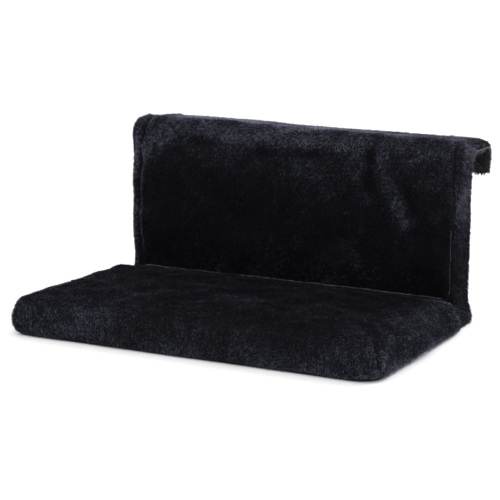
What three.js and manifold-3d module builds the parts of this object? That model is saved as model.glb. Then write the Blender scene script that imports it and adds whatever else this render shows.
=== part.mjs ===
// A plush-covered radiator bed for a cat: a padded seat and a padded back in an L, with a hook along the
// whole top edge that hangs over a radiator. Inside are two bent steel brackets, flat cross bars, a
// board and foam. The cover opens with a zip across its rear face.
// Millimetres, +X to the right seen from the front, +Y to the rear, +Z up. The origin is the middle of the
// overall box at the level of the underside.
import * as THREE from 'three';
import { mergeVertices } from 'three/addons/utils/BufferGeometryUtils.js';
import Module from 'manifold-3d';

// ---- Driving sizes --------------------------------------------------------------------------------------

// The covered bed.
const SEAT_WIDTH = 460;
const SEAT_DEPTH = 255;          // front edge to the crease at the back
const SEAT_FRONT_HEIGHT = 49;
const SEAT_REAR_HEIGHT = 35;
const SEAT_CORNER_RADIUS = 28;   // the two front corners, seen from above
const SEAT_EDGE_RADIUS = 17;     // round the top edge
const BACK_WIDTH = 436;
const BACK_THICKNESS = 50;
const BACK_HEIGHT = 231;
const BACK_TOP_RADIUS = 24;
const SHOULDER_RISE = 5;         // the pad's top stands this much above the hook, at the rear face
const HOOK_GAP = 58;             // clear width for the radiator
const HOOK_HEIGHT = 205;         // the radiator's top edge above the underside
const HOOK_DROP = 35;            // how far the hook reaches down behind that edge
const HOOK_OUTER_RADIUS = 19;

// Sheet goods.
const PLUSH = 4;                 // backing and pile
const LINING = 1.2;
const BOARD_THICKNESS = 3;
const FINGER_HOLE_RADIUS = 12;   // for lifting the board out
const FINGER_HOLE_SETBACK = 30;  // its middle, in front of the crease
const CLEARANCE = 0.3;           // between any two pieces

// Steel.
const BAR_THICKNESS = 3;
const BAR_WIDTH = 20;
const BEND_RADIUS = 14;          // hook bends, to the middle of the bar
const CORNER_BEND_RADIUS = 10;   // bend between seat arm and upright, to the middle of the bar
const BRACKET_INSET = 7.5;       // cover's side to the bracket's outer edge
const ARM_SETBACK = 14;          // cover's front to the end of the seat arm
const LOWER_BAR_HEIGHT = 74;     // middle of the back's lower bar
const UPPER_BAR_DROP = 1;        // bracket's top bend to the back's upper bar

// M4 countersunk screws, two at each end of every cross bar.
const SCREW_RADIUS = 2;
const SCREW_HEAD_RADIUS = 3.8;
const SCREW_HEAD_HEIGHT = 2;
const SCREW_PITCH = 10;          // between the two screws of one joint, across the bracket
const SOCKET_RADIUS = 1.3;
const SOCKET_DEPTH = 1.3;
const SCREW_RIM = 0.2;           // straight edge of the head
const SCREW_SHORTFALL = 0.4;     // the screw ends this far inside the bar

// Zip.
const ZIP_LENGTH = 350;
const ZIP_HEIGHT = 31;           // its middle above the underside
const ZIP_SLOT = 9;              // between the two edges of the lining
const TAPE_WIDTH = 12;
const TAPE_THICKNESS = 0.8;
const COIL_WIDTH = 1.8;
const COIL_THICKNESS = 2;
const COIL_INSET = 0.1;          // sets the coils' depth against the lining
const SLIDER_LENGTH = 13;
const SLIDER_WIDTH = 8.4;
const SLIDER_PLATE = 1.2;
const SLIDER_POST = 1;           // the wedge that parts the two coils
const SLIDER_REST_GAP = 4;       // zip's end to the slider when closed
const STOP_LENGTH = 3;
const LUG_THICKNESS = 1;
const LUG_SPACING = 3.8;         // between the slider's two lugs
const PULL_LENGTH = 30;
const PULL_WIDTH = 8;
const PULL_THICKNESS = 1.6;
const PIN_RADIUS = 0.7;
const EYE_RADIUS = 2.2;

// Smoothness.
const ARC_STEPS = 6;             // segments in each bend
const HOLE_SIDES = 14;

// ---- Positions that follow from the sizes ---------------------------------------------------------------

const legThickness = LINING + 2 * BAR_THICKNESS + 3 * CLEARANCE + PLUSH;
const overallDepth = SEAT_DEPTH + BACK_THICKNESS + HOOK_GAP + legThickness;
const frontY = -overallDepth / 2;
const creaseY = frontY + SEAT_DEPTH;
const rearY = creaseY + BACK_THICKNESS;            // the face that leans on the radiator
const legInnerY = rearY + HOOK_GAP;
const hookRearY = overallDepth / 2;
const tipZ = HOOK_HEIGHT - HOOK_DROP;              // lowest edge of the hook

const skin = LINING + CLEARANCE;                   // lining and the gap behind it
const armZ = skin + BAR_THICKNESS / 2;             // middle of the seat arm
const uprightY = rearY - skin - BAR_THICKNESS / 2;
const archZ = HOOK_HEIGHT + skin + BAR_THICKNESS / 2;
const legY = legInnerY + skin + BAR_THICKNESS / 2;
const bracketX = BACK_WIDTH / 2 - BRACKET_INSET - BAR_WIDTH / 2;
const bracketTipZ = tipZ + PLUSH + CLEARANCE;
const armFrontY = frontY + ARM_SETBACK;
const archTopZ = archZ + BAR_THICKNESS / 2 + CLEARANCE + PLUSH;

const barOffset = BAR_THICKNESS + CLEARANCE;       // bracket's middle to a cross bar's middle
const barLength = 2 * bracketX + BAR_WIDTH;
const upperBarZ = archZ - BEND_RADIUS - BAR_WIDTH / 2 - UPPER_BAR_DROP;
const boardZ = armZ + barOffset + BAR_THICKNESS / 2 + CLEARANCE;
const foamZ = boardZ + BOARD_THICKNESS + CLEARANCE;

// ---- Helpers: solids ------------------------------------------------------------------------------------

const wasm = await Module();
wasm.setup();

function toSolid(geometry) {
  const bare = geometry.index ? geometry.toNonIndexed() : geometry.clone();
  bare.deleteAttribute('normal');
  bare.deleteAttribute('uv');
  const merged = mergeVertices(bare, 1e-4);
  return new wasm.Manifold(new wasm.Mesh({
    numProp: 3,
    vertProperties: merged.attributes.position.array,
    triVerts: new Uint32Array(merged.index.array),
  }));
}

function toGeometry(solid) {
  const mesh = solid.getMesh();
  const geometry = new THREE.BufferGeometry();
  geometry.setAttribute('position', new THREE.BufferAttribute(mesh.vertProperties, 3));
  geometry.setIndex(new THREE.BufferAttribute(mesh.triVerts, 1));
  return geometry;
}

function cut(geometry, tools) {
  let solid = toSolid(geometry);
  for (const tool of tools) solid = solid.subtract(toSolid(tool));
  return toGeometry(solid);
}

function join(geometries) {
  return toGeometry(geometries.map(toSolid).reduce((whole, next) => whole.add(next)));
}

// A box between two corners.
function block(low, high) {
  const size = high.map((h, i) => h - low[i]);
  const middle = high.map((h, i) => (h + low[i]) / 2);
  return new THREE.BoxGeometry(...size).translate(...middle);
}

// A cylinder of the given radius along an axis, from one coordinate on that axis to another.
function rod(axis, radius, from, to, centre, sides = HOLE_SIDES) {
  const geometry = new THREE.CylinderGeometry(radius, radius, to - from, sides);
  if (axis === 'x') geometry.rotateZ(-Math.PI / 2);
  if (axis === 'z') geometry.rotateX(Math.PI / 2);
  const middle = { x: [1, 0, 0], y: [0, 1, 0], z: [0, 0, 1] }[axis].map((c) => c * (from + to) / 2);
  return geometry.translate(middle[0] + centre[0], middle[1] + centre[1], middle[2] + centre[2]);
}

// ---- Helpers: side profiles, drawn in (y, z) and run along X --------------------------------------------

const alongX = new THREE.Matrix4().makeBasis(
  new THREE.Vector3(0, 1, 0), new THREE.Vector3(0, 0, 1), new THREE.Vector3(1, 0, 0));

function run(outline, fromX, toX) {
  const shape = new THREE.Shape(outline);
  return new THREE.ExtrudeGeometry(shape, { depth: toX - fromX, bevelEnabled: false })
    .translate(0, 0, fromX).applyMatrix4(alongX);
}

// A line of corners { y, z, r } as points, with each corner rounded to its radius r.
function rounded(corners) {
  const points = [];
  corners.forEach((corner, i) => {
    const here = new THREE.Vector2(corner.y, corner.z);
    if (!corner.r || i === 0 || i === corners.length - 1) {
      points.push(here);
      return;
    }
    const before = new THREE.Vector2(corners[i - 1].y, corners[i - 1].z).sub(here).normalize();
    const after = new THREE.Vector2(corners[i + 1].y, corners[i + 1].z).sub(here).normalize();
    const half = Math.acos(THREE.MathUtils.clamp(before.dot(after), -1, 1)) / 2;
    const centre = before.clone().add(after).normalize().multiplyScalar(corner.r / Math.sin(half)).add(here);
    const start = here.clone().addScaledVector(before, corner.r / Math.tan(half)).sub(centre);
    const end = here.clone().addScaledVector(after, corner.r / Math.tan(half)).sub(centre);
    const turn = Math.atan2(start.cross(end), start.dot(end));
    for (let k = 0; k <= ARC_STEPS; k += 1) {
      points.push(start.clone().rotateAround(new THREE.Vector2(), turn * k / ARC_STEPS).add(centre));
    }
  });
  return points;
}

// The same line moved sideways by a distance, to the left of its direction of travel.
function beside(points, distance) {
  return points.map((point, i) => {
    const back = point.clone().sub(points[Math.max(i - 1, 0)]);
    const ahead = points[Math.min(i + 1, points.length - 1)].clone().sub(point);
    if (i === 0) back.copy(ahead);
    if (i === points.length - 1) ahead.copy(back);
    back.normalize();
    ahead.normalize();
    const normal = new THREE.Vector2(-back.y - ahead.y, back.x + ahead.x).normalize();
    return point.clone().addScaledVector(normal, distance / normal.dot(new THREE.Vector2(-back.y, back.x)));
  });
}

// A band between two offsets of one line.
function band(points, near, far) {
  return [...beside(points, near), ...beside(points, far).reverse()];
}

// ---- Lines that the pieces share, all running from the seat or the back's foot over to the hook's tip ---

const bracketLine = rounded([
  { y: armFrontY, z: armZ },
  { y: uprightY, z: armZ, r: CORNER_BEND_RADIUS },
  { y: uprightY, z: archZ, r: BEND_RADIUS },
  { y: legY, z: archZ, r: BEND_RADIUS },
  { y: legY, z: bracketTipZ },
]);

const innerRadius = BEND_RADIUS - BAR_THICKNESS / 2 - skin;
const hookFaceLine = rounded([
  { y: rearY, z: tipZ },
  { y: rearY, z: HOOK_HEIGHT, r: innerRadius },
  { y: legInnerY, z: HOOK_HEIGHT, r: innerRadius },
  { y: legInnerY, z: tipZ + PLUSH + CLEARANCE },
]);

const backOuterLine = rounded([
  { y: creaseY, z: 0 },
  { y: creaseY, z: BACK_HEIGHT, r: BACK_TOP_RADIUS },
  { y: rearY, z: archTopZ + SHOULDER_RISE, r: BACK_TOP_RADIUS },
  { y: hookRearY, z: archTopZ, r: HOOK_OUTER_RADIUS },
  { y: hookRearY, z: tipZ, r: PLUSH + 0.5 },
  { y: legInnerY, z: tipZ },
]);

// ---- Materials ------------------------------------------------------------------------------------------

const finish = (color, roughness, metalness = 0) =>
  new THREE.MeshStandardMaterial({ color, roughness, metalness });
const plush = finish(0x14151c, 1);
const innerPlush = finish(0x1b181b, 1);
const lining = finish(0x15151a, 0.9);
const steel = finish(0x2b2d30, 0.45, 0.6);
const zinc = finish(0xb9bcc0, 0.35, 1);
const hardboard = finish(0x6d4c33, 0.8);
const foam = finish(0xd9d6cb, 0.95);
const polyester = finish(0x121216, 0.75);
const nylon = finish(0x101013, 0.4);

const bed = new THREE.Group();

function add(name, geometry, material, parent = bed) {
  const mesh = new THREE.Mesh(geometry, material);
  mesh.name = name;
  parent.add(mesh);
  return mesh;
}

// ---- Seat cover -----------------------------------------------------------------------------------------

// The seat's plan, anticlockwise seen from above, shrunk by an inset on the front and sides.
function seatPlan(inset, rearInset) {
  const halfWidth = SEAT_WIDTH / 2 - inset;
  const front = frontY + inset;
  const radius = Math.max(SEAT_CORNER_RADIUS - inset, 1);
  const half = [new THREE.Vector2(halfWidth, creaseY - rearInset)];
  for (let k = 0; k <= ARC_STEPS; k += 1) {
    const angle = -Math.PI / 2 * k / ARC_STEPS;
    half.push(new THREE.Vector2(
      halfWidth - radius + radius * Math.cos(angle), front + radius + radius * Math.sin(angle)));
  }
  return [...half.map((p) => new THREE.Vector2(-p.x, p.y)), ...half.reverse()];
}

// The seat's height at a place along its depth: it falls towards the crease.
function seatHeight(y) {
  return THREE.MathUtils.mapLinear(y, frontY, creaseY, SEAT_FRONT_HEIGHT, SEAT_REAR_HEIGHT);
}

// A solid between two heights with the seat's plan and a rounded top edge. `inset` shrinks it on every
// side but the underside, `rearInset` at the rear.
function seatSolid(inset, rearInset, bottomZ) {
  const edge = Math.max(SEAT_EDGE_RADIUS - inset, 1);
  const levels = [{ drop: null, extra: 0 }];
  for (let k = 0; k <= ARC_STEPS; k += 1) {
    const angle = Math.PI / 2 * k / ARC_STEPS;
    levels.push({ drop: edge * (1 - Math.sin(angle)), extra: edge * (1 - Math.cos(angle)) });
  }
  const rings = levels.map(({ drop, extra }) => seatPlan(inset + extra, rearInset).map((p) =>
    [p.x, p.y, drop === null ? bottomZ : seatHeight(p.y) - inset - drop]));
  return stacked(rings);
}

// Closed solid through equal rings of points, listed anticlockwise seen from above, lowest first.
function stacked(rings) {
  const n = rings[0].length;
  const vertices = rings.flat(2);
  const faces = [];
  for (let level = 0; level < rings.length - 1; level += 1) {
    for (let i = 0; i < n; i += 1) {
      const a = level * n + i;
      const b = level * n + (i + 1) % n;
      faces.push(a, b, a + n, b, b + n, a + n);
    }
  }
  const plan = rings[0].map(([x, y]) => new THREE.Vector2(x, y));
  const top = (rings.length - 1) * n;
  for (const [a, b, c] of THREE.ShapeUtils.triangulateShape(plan, [])) {
    faces.push(c, b, a, top + a, top + b, top + c);
  }
  const geometry = new THREE.BufferGeometry();
  geometry.setAttribute('position', new THREE.Float32BufferAttribute(vertices, 3));
  geometry.setIndex(faces);
  return geometry;
}

const passX = bracketX + BAR_WIDTH / 2 + 3 * CLEARANCE;   // half width of the way through to the back
const passZ = SEAT_REAR_HEIGHT - PLUSH - 2 * CLEARANCE;   // its top

function buildSeatCover() {
  const inside = seatSolid(PLUSH, PLUSH, -1);
  const way = block([-passX, creaseY - 2 * PLUSH, -1], [passX, creaseY + 1, passZ]);
  add('seat_plush_cover', cut(seatSolid(0, CLEARANCE / 2, 0), [inside, way]), plush);
}

// ---- Back and hook cover --------------------------------------------------------------------------------

const backHalf = BACK_WIDTH / 2;
const sideInnerX = backHalf - PLUSH;
const sleeveX = sideInnerX - CLEARANCE;
const zipTopZ = ZIP_HEIGHT + ZIP_SLOT / 2;
const zipLowZ = ZIP_HEIGHT - ZIP_SLOT / 2;

function buildBackCover() {
  // Front, over the top and down behind the hook in one piece, with a way through to the seat.
  const sheet = run(band(backOuterLine, 0, -PLUSH), -backHalf, backHalf);
  const way = block([-passX, creaseY - 1, -1], [passX, creaseY + PLUSH + 1, passZ]);
  add('back_plush_panel', cut(sheet, [way]), plush);

  // A side panel closes each end of the back and of the hook, inside the plush's two edges.
  const side = [
    ...beside(backOuterLine, -PLUSH - CLEARANCE),
    ...hookFaceLine.slice(1).reverse(),
    new THREE.Vector2(rearY, 0),
  ];
  add('side_panel_left', run(side, -backHalf, -sideInnerX), plush);
  add('side_panel_right', run(side, sideInnerX, backHalf), plush);

  // The rear face is two panels with the zip between them.
  const x = sleeveX;
  add('rear_lining_lower',
    block([-x, rearY - LINING, LINING + CLEARANCE], [x, rearY, zipLowZ]), lining);
  add('rear_lining_upper',
    block([-x, rearY - LINING, zipTopZ], [x, rearY, tipZ - CLEARANCE]), lining);
  for (const side of [-1, 1]) {
    const from = side < 0 ? -x : ZIP_LENGTH / 2 + CLEARANCE;
    const to = side < 0 ? -ZIP_LENGTH / 2 - CLEARANCE : x;
    add(side < 0 ? 'zip_end_patch_left' : 'zip_end_patch_right',
      block([from, rearY - LINING, zipLowZ + CLEARANCE], [to, rearY, zipTopZ - CLEARANCE]), lining);
  }

  // The hook's inner face, which rests on the radiator.
  add('hook_inner_plush', run(band(hookFaceLine, 0, LINING), -sleeveX, sleeveX), innerPlush);

  // One lining covers the underside of the seat and of the back, through the way between them.
  const seam = PLUSH + CLEARANCE;
  const neck = passX - CLEARANCE;
  const right = [[neck, -seam], [neck, seam], [x, seam], [x, BACK_THICKNESS]]
    .map(([px, py]) => new THREE.Vector2(px, creaseY + py));
  const base = [...seatPlan(seam, seam), ...right,
    ...right.map((p) => new THREE.Vector2(-p.x, p.y)).reverse()];
  add('base_lining', stacked([0, LINING].map((z) => base.map((p) => [p.x, p.y, z]))), lining);
}

// ---- Padding and board ----------------------------------------------------------------------------------

function buildPadding() {
  const gap = PLUSH + CLEARANCE;
  add('seat_foam', cut(seatSolid(gap, gap, -1), [
    block([-SEAT_WIDTH, frontY, -2], [SEAT_WIDTH, creaseY, foamZ]),
  ]), foam);
  const plan = seatPlan(gap + CLEARANCE, gap + CLEARANCE);
  const board = stacked([boardZ, boardZ + BOARD_THICKNESS].map((z) => plan.map((p) => [p.x, p.y, z])));
  const fingerHole = rod('z', FINGER_HOLE_RADIUS, boardZ - 1, boardZ + BOARD_THICKNESS + 1,
    [0, creaseY - FINGER_HOLE_SETBACK, 0], 24);
  add('seat_board', cut(board, [fingerHole]), hardboard);

  // The back's foam stands in front of the cross bars and follows the cover's top.
  const front = creaseY + gap;
  const rear = uprightY - barOffset - BAR_THICKNESS / 2 - CLEARANCE;
  const top = BACK_HEIGHT - gap;
  const x = sleeveX;
  const fall = (BACK_HEIGHT - archTopZ - SHOULDER_RISE) * (rear - creaseY) / BACK_THICKNESS;
  add('back_foam', run(rounded([
    { y: front, z: foamZ },
    { y: rear, z: foamZ },
    { y: rear, z: top - fall - 1 },
    { y: front, z: top, r: BACK_TOP_RADIUS - gap },
    { y: front, z: foamZ },
  ]).slice(0, -1), -x, x), foam);
}

// ---- Steel frame ----------------------------------------------------------------------------------------

// A cross bar's place: its middle (y, z), and the direction from the bar to the bracket it is screwed to.
const barPlaces = {
  seat_front_bar: { y: armFrontY + BAR_WIDTH / 2, z: armZ + barOffset, to: [0, -1] },
  seat_rear_bar: { y: creaseY - BAR_WIDTH / 2, z: armZ + barOffset, to: [0, -1] },
  back_lower_bar: { y: uprightY - barOffset, z: LOWER_BAR_HEIGHT, to: [1, 0] },
  back_upper_bar: { y: uprightY - barOffset, z: upperBarZ, to: [1, 0] },
  hook_bar: { y: legY + barOffset, z: bracketTipZ + BAR_WIDTH / 2, to: [-1, 0] },
};

// Screw places of one joint, from the bar's middle, in the middle plane of the bracket.
function screwPlaces({ to: [ty, tz] }, side) {
  return [-0.5, 0.5].map((share) => {
    const across = share * SCREW_PITCH;
    return new THREE.Vector3(side * bracketX + across,
      ty * barOffset + tz * across, tz * barOffset + ty * across);
  });
}

// A screw, or with `grow` the hole that takes it, with the top of its head at the origin, facing +Z.
function screwBody(grow) {
  const length = 2 * BAR_THICKNESS + CLEARANCE - SCREW_SHORTFALL;
  const profile = [
    [0, -length - grow], [SCREW_RADIUS + grow, -length - grow],
    [SCREW_RADIUS + grow, -SCREW_HEAD_HEIGHT], [SCREW_HEAD_RADIUS + grow, -SCREW_RIM],
    [SCREW_HEAD_RADIUS + grow, grow], [0, grow],
  ].map(([r, h]) => new THREE.Vector2(r, h));
  return new THREE.LatheGeometry(profile, HOLE_SIDES).rotateX(Math.PI / 2);
}

// Puts an object or a geometry where a screw goes, its head flush in the bracket's outer face.
function seated(item, { to: [ty, tz] }, at) {
  const facing = new THREE.Vector3(0, ty, tz);
  item.applyQuaternion(new THREE.Quaternion().setFromUnitVectors(new THREE.Vector3(0, 0, 1), facing));
  const point = at.clone().addScaledVector(facing, BAR_THICKNESS / 2);
  if (item.isMesh) item.position.copy(point);
  else item.translate(point.x, point.y, point.z);
  return item;
}

function screwHoles(place, side) {
  return screwPlaces(place, side).map((at) => seated(screwBody(CLEARANCE), place, at));
}

function buildFrame() {
  const socket = new THREE.CylinderGeometry(SOCKET_RADIUS, SOCKET_RADIUS, 2 * SOCKET_DEPTH, 6)
    .rotateX(Math.PI / 2);
  const screw = cut(screwBody(0), [socket]);
  for (const [side, word] of [[-1, 'left'], [1, 'right']]) {
    const strip = run(band(bracketLine, -BAR_THICKNESS / 2, BAR_THICKNESS / 2),
      side * bracketX - BAR_WIDTH / 2, side * bracketX + BAR_WIDTH / 2);
    const holes = Object.values(barPlaces).flatMap((place) =>
      screwHoles(place, side).map((hole) => hole.translate(0, place.y, place.z)));
    add(`side_bracket_${word}`, cut(strip, holes), steel);
  }
  for (const [name, place] of Object.entries(barPlaces)) {
    const joint = new THREE.Group();
    joint.position.set(0, place.y, place.z);
    bed.add(joint);
    const lying = place.to[1] !== 0;
    const bar = new THREE.BoxGeometry(barLength,
      lying ? BAR_WIDTH : BAR_THICKNESS, lying ? BAR_THICKNESS : BAR_WIDTH);
    add(name, cut(bar, [-1, 1].flatMap((side) => screwHoles(place, side))), steel, joint);
    for (const [side, word] of [[-1, 'left'], [1, 'right']]) {
      screwPlaces(place, side).forEach((at, i) => {
        seated(add(`${name.replace('_bar', '')}_screw_${word}_${i + 1}`, screw, zinc, joint), place, at);
      });
    }
  }
}

// ---- Zip ------------------------------------------------------------------------------------------------

// Everything here is placed from the middle of the zip: x along it, y outwards, z across it.
const coilY = rearY - LINING - CLEARANCE + COIL_THICKNESS / 2 + COIL_INSET;
const coilEdge = SLIDER_POST / 2 + CLEARANCE;
const tapeY = -COIL_THICKNESS / 2 - CLEARANCE - TAPE_THICKNESS;      // the tapes' inner face
const outerPlateY = COIL_THICKNESS / 2 + CLEARANCE;
const innerPlateY = tapeY - CLEARANCE - SLIDER_PLATE;
const pinY = outerPlateY + SLIDER_PLATE + EYE_RADIUS + CLEARANCE;
const sliderX = -ZIP_LENGTH / 2 + SLIDER_REST_GAP + SLIDER_LENGTH / 2;

function buildZip() {
  const zip = new THREE.Group();
  zip.position.set(0, coilY, ZIP_HEIGHT);
  bed.add(zip);
  const half = ZIP_LENGTH / 2;
  const rows = [['lower', -1], ['upper', 1]];
  for (const [word, side] of rows) {
    const from = side < 0 ? [-coilEdge - TAPE_WIDTH, -coilEdge - COIL_WIDTH] : [coilEdge, coilEdge];
    add(`zip_tape_${word}`, block([-half, tapeY, from[0]],
      [half, tapeY + TAPE_THICKNESS, from[0] + TAPE_WIDTH]), polyester, zip);
    const reach = half - STOP_LENGTH - CLEARANCE;
    add(`zip_coil_${word}`, block([-reach, -COIL_THICKNESS / 2, from[1]],
      [reach, COIL_THICKNESS / 2, from[1] + COIL_WIDTH]), nylon, zip);
  }
  const stop = new THREE.BoxGeometry(STOP_LENGTH, COIL_THICKNESS, 2 * (coilEdge + COIL_WIDTH));
  add('zip_stop_closed', stop, zinc, zip).position.x = -half + STOP_LENGTH / 2;
  add('zip_stop_open', stop, zinc, zip).position.x = half - STOP_LENGTH / 2;

  // Slider: two plates on a post that runs between the coils, and two lugs that hold the pull's pin.
  const slider = new THREE.Group();
  slider.position.x = sliderX;
  zip.add(slider);
  const x = SLIDER_LENGTH / 2;
  const plate = (y) => block([-x, y, -SLIDER_WIDTH / 2], [x, y + SLIDER_PLATE, SLIDER_WIDTH / 2]);
  const lug = (low) => join([
    block([-EYE_RADIUS, outerPlateY + SLIDER_PLATE / 2, low], [EYE_RADIUS, pinY, low + LUG_THICKNESS]),
    rod('z', EYE_RADIUS, low, low + LUG_THICKNESS, [0, pinY, 0], 16),
  ]);
  const pinHalf = (LUG_SPACING + LUG_THICKNESS) / 2;
  add('zip_slider', join([
    plate(outerPlateY),
    plate(innerPlateY),
    block([0, innerPlateY + SLIDER_PLATE / 2, -SLIDER_POST / 2],
      [x - CLEARANCE, outerPlateY + SLIDER_PLATE / 2, SLIDER_POST / 2]),
    lug(-LUG_SPACING / 2 - LUG_THICKNESS),
    lug(LUG_SPACING / 2),
    rod('z', PIN_RADIUS, -pinHalf, pinHalf, [0, pinY, 0], 12),
  ]), nylon, slider);

  // Pull tab: an eye on the pin, a neck and a leaf, lying along the zip.
  const pull = new THREE.Group();
  pull.position.y = pinY;
  slider.add(pull);
  const eyeHalf = LUG_SPACING / 2 - CLEARANCE;
  const leafY = [-PULL_THICKNESS / 2, PULL_THICKNESS / 2];
  const leafStart = EYE_RADIUS + 4 * CLEARANCE;
  const leafEnd = PULL_LENGTH - PULL_WIDTH / 2;
  add('zip_pull_tab', cut(join([
    rod('z', EYE_RADIUS, -eyeHalf, eyeHalf, [0, 0, 0], 16),
    block([0, leafY[0], -eyeHalf], [leafStart + 1, leafY[1], eyeHalf]),
    block([leafStart, leafY[0], -PULL_WIDTH / 2], [leafEnd, leafY[1], PULL_WIDTH / 2]),
    rod('y', PULL_WIDTH / 2, ...leafY, [leafEnd, 0, 0], 20),
  ]), [rod('z', PIN_RADIUS + CLEARANCE, -PULL_WIDTH, PULL_WIDTH, [0, 0, 0], 12)]), nylon, pull);
}

buildSeatCover();
buildBackCover();
buildPadding();
buildFrame();
buildZip();

export default bed;
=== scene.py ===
"""Builds the visible surfaces of a plush-covered cat bed that hangs on a radiator.

The steel, the board, the screws and the zip's tapes, stops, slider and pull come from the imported
model. The padded covers, their pile, the foam, the linings, the zip's teeth, the seams and the
stitching are made here, in metres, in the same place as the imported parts. +X is to the right seen
from the front, +Y to the radiator and +Z up.
"""

import math

import bmesh
import bpy
import numpy as np
from mathutils import Matrix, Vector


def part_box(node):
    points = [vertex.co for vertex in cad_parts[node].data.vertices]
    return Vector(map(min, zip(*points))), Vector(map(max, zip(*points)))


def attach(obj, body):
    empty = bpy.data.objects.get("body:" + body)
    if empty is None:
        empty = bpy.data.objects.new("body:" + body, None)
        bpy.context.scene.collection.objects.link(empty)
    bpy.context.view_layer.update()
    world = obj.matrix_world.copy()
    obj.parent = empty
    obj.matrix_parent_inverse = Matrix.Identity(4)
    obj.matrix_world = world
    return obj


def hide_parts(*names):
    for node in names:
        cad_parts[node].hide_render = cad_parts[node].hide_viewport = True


bl_info = {
    "name": "Cat radiator bed",
    "version": (1, 0, 0),
    "blender": (4, 5, 0),
    "location": "3D View > Sidebar > Cat Bed",
    "description": "Padded seat, back and hook in plush, with linings, zip and stitching",
    "category": "Add Mesh",
}

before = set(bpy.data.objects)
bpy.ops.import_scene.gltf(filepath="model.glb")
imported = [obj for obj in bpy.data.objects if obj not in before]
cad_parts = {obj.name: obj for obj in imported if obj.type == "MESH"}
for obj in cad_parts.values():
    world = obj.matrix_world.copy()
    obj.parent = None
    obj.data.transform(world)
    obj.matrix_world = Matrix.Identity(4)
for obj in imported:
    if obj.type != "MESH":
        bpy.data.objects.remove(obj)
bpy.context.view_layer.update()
BODY = "bed"


def corners(node):
    """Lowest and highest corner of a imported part, as arrays."""
    low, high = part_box(node)
    return np.array(low), np.array(high)


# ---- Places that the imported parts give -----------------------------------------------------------

SEAT_LOW, SEAT_HIGH = corners("seat_plush_cover")
BACK_LOW, BACK_HIGH = corners("back_plush_panel")
HOOK_LOW, HOOK_HIGH = corners("hook_inner_plush")
REAR_LOW, REAR_HIGH = corners("rear_lining_upper")
FOOT_LOW, FOOT_HIGH = corners("rear_lining_lower")
BASE_LOW, BASE_HIGH = corners("base_lining")
COIL_LOW, COIL_HIGH = corners("zip_coil_upper")

LINING = REAR_HIGH[1] - REAR_LOW[1]
CREASE_Y = BACK_LOW[1]
REAR_Y = REAR_HIGH[1]
LEG_Y = HOOK_HIGH[1] - LINING
HOOK_Z = HOOK_HIGH[2] - LINING
TIP_Z = HOOK_LOW[2]
BACK_HALF = BACK_HIGH[0]
SEAT_HALF = SEAT_HIGH[0]
BOARD_TOP = corners("seat_board")[1][2]
SHOULDER_Z = BACK_HIGH[2] - 0.0056
HOOK_TOP_Z = BACK_HIGH[2] - 0.0106
AIM_Y = SEAT_LOW[1] + 0.1475     # the middle of the bed's foot

# ---- Fixed values --------------------------------------------------------------------------------

LOW_EDGE = 0.003                 # rounding of the seat's lower edge
CREASE_EDGE = 0.004              # rounding of the seat's top edge beside the back
DART_HEADING = math.radians(32.0)
LEFT_SEAM, RIGHT_SEAM = -0.2060, 0.2130
END_TILT = 0.028                 # how much lower the back gets per metre to the right, as a share
CLOTH_MESH = 0.0045              # width of a square of the cloth that is swollen
CLOTH_STEPS = 20
LINING_MESH = 0.003
UPRIGHT = (math.pi / 2, 0.0, 0.0)    # turns a weave to an upright sheet
PUCKER_PITCH = 0.0065
MOST_TUFTS = 49000               # in one piece
FULL_TONE = 2.2                  # the tone at which a tip has the whole of its light colour
PILE_MAP = "OFBake"
AIM_RIGHT, AIM_UP = 0.00546, 0.0930    # from the bed's foot to the line the camera looks along


# ---- Settings ------------------------------------------------------------------------------------


class PlushSettings(bpy.types.PropertyGroup):
    """Pile and colour of the plush."""

    length: bpy.props.FloatProperty(
        name="Pile length", description="Length of a tuft from its root", default=0.0038, min=0.001,
        max=0.02, subtype="DISTANCE", unit="LENGTH")
    inner_length: bpy.props.FloatProperty(
        name="Inner pile length", description="Length of a tuft inside the hook", default=0.0062,
        min=0.001, max=0.02, subtype="DISTANCE", unit="LENGTH")
    rise: bpy.props.FloatProperty(
        name="Pile rise", description="Height of the leaning pile above its backing",
        default=0.0018, min=0.0, max=0.02, subtype="DISTANCE", unit="LENGTH")
    radius: bpy.props.FloatProperty(
        name="Tuft radius", description="Radius of a tuft at its root", default=0.00052, min=0.0001,
        max=0.003, subtype="DISTANCE", unit="LENGTH")
    density: bpy.props.FloatProperty(
        name="Tufts per square metre", description="How many tufts stand on a square metre",
        default=860000.0, min=1000.0, max=2000000.0)
    lean: bpy.props.FloatProperty(
        name="Lean", description="How far the pile leans from upright", default=math.radians(56.0),
        min=0.0, max=1.5, subtype="ANGLE", unit="ROTATION")
    # The root colour is darker as painted shade between the tufts. The dark and light tip colours
    # carry the painted shade and painted light that the tone puts on the tips.
    root: bpy.props.FloatVectorProperty(
        name="Root colour", description="Colour of the pile at its root", subtype="COLOR", size=3,
        default=(0.0012, 0.0012, 0.0017), min=0.0, max=1.0)
    dark: bpy.props.FloatVectorProperty(
        name="Dark tip colour", description="Colour of the tips where the pile lies away",
        subtype="COLOR", size=3, default=(0.0044, 0.0045, 0.0064), min=0.0, max=1.0)
    light: bpy.props.FloatVectorProperty(
        name="Light tip colour", description="Colour of the tips where the pile is stroked up",
        subtype="COLOR", size=3, default=(0.2700, 0.2770, 0.3850), min=0.0, max=1.0)
    inner: bpy.props.FloatVectorProperty(
        name="Inner pile colour", description="Colour of the pile inside the hook", subtype="COLOR",
        size=3, default=(0.1900, 0.1740, 0.1860), min=0.0, max=1.0)


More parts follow.
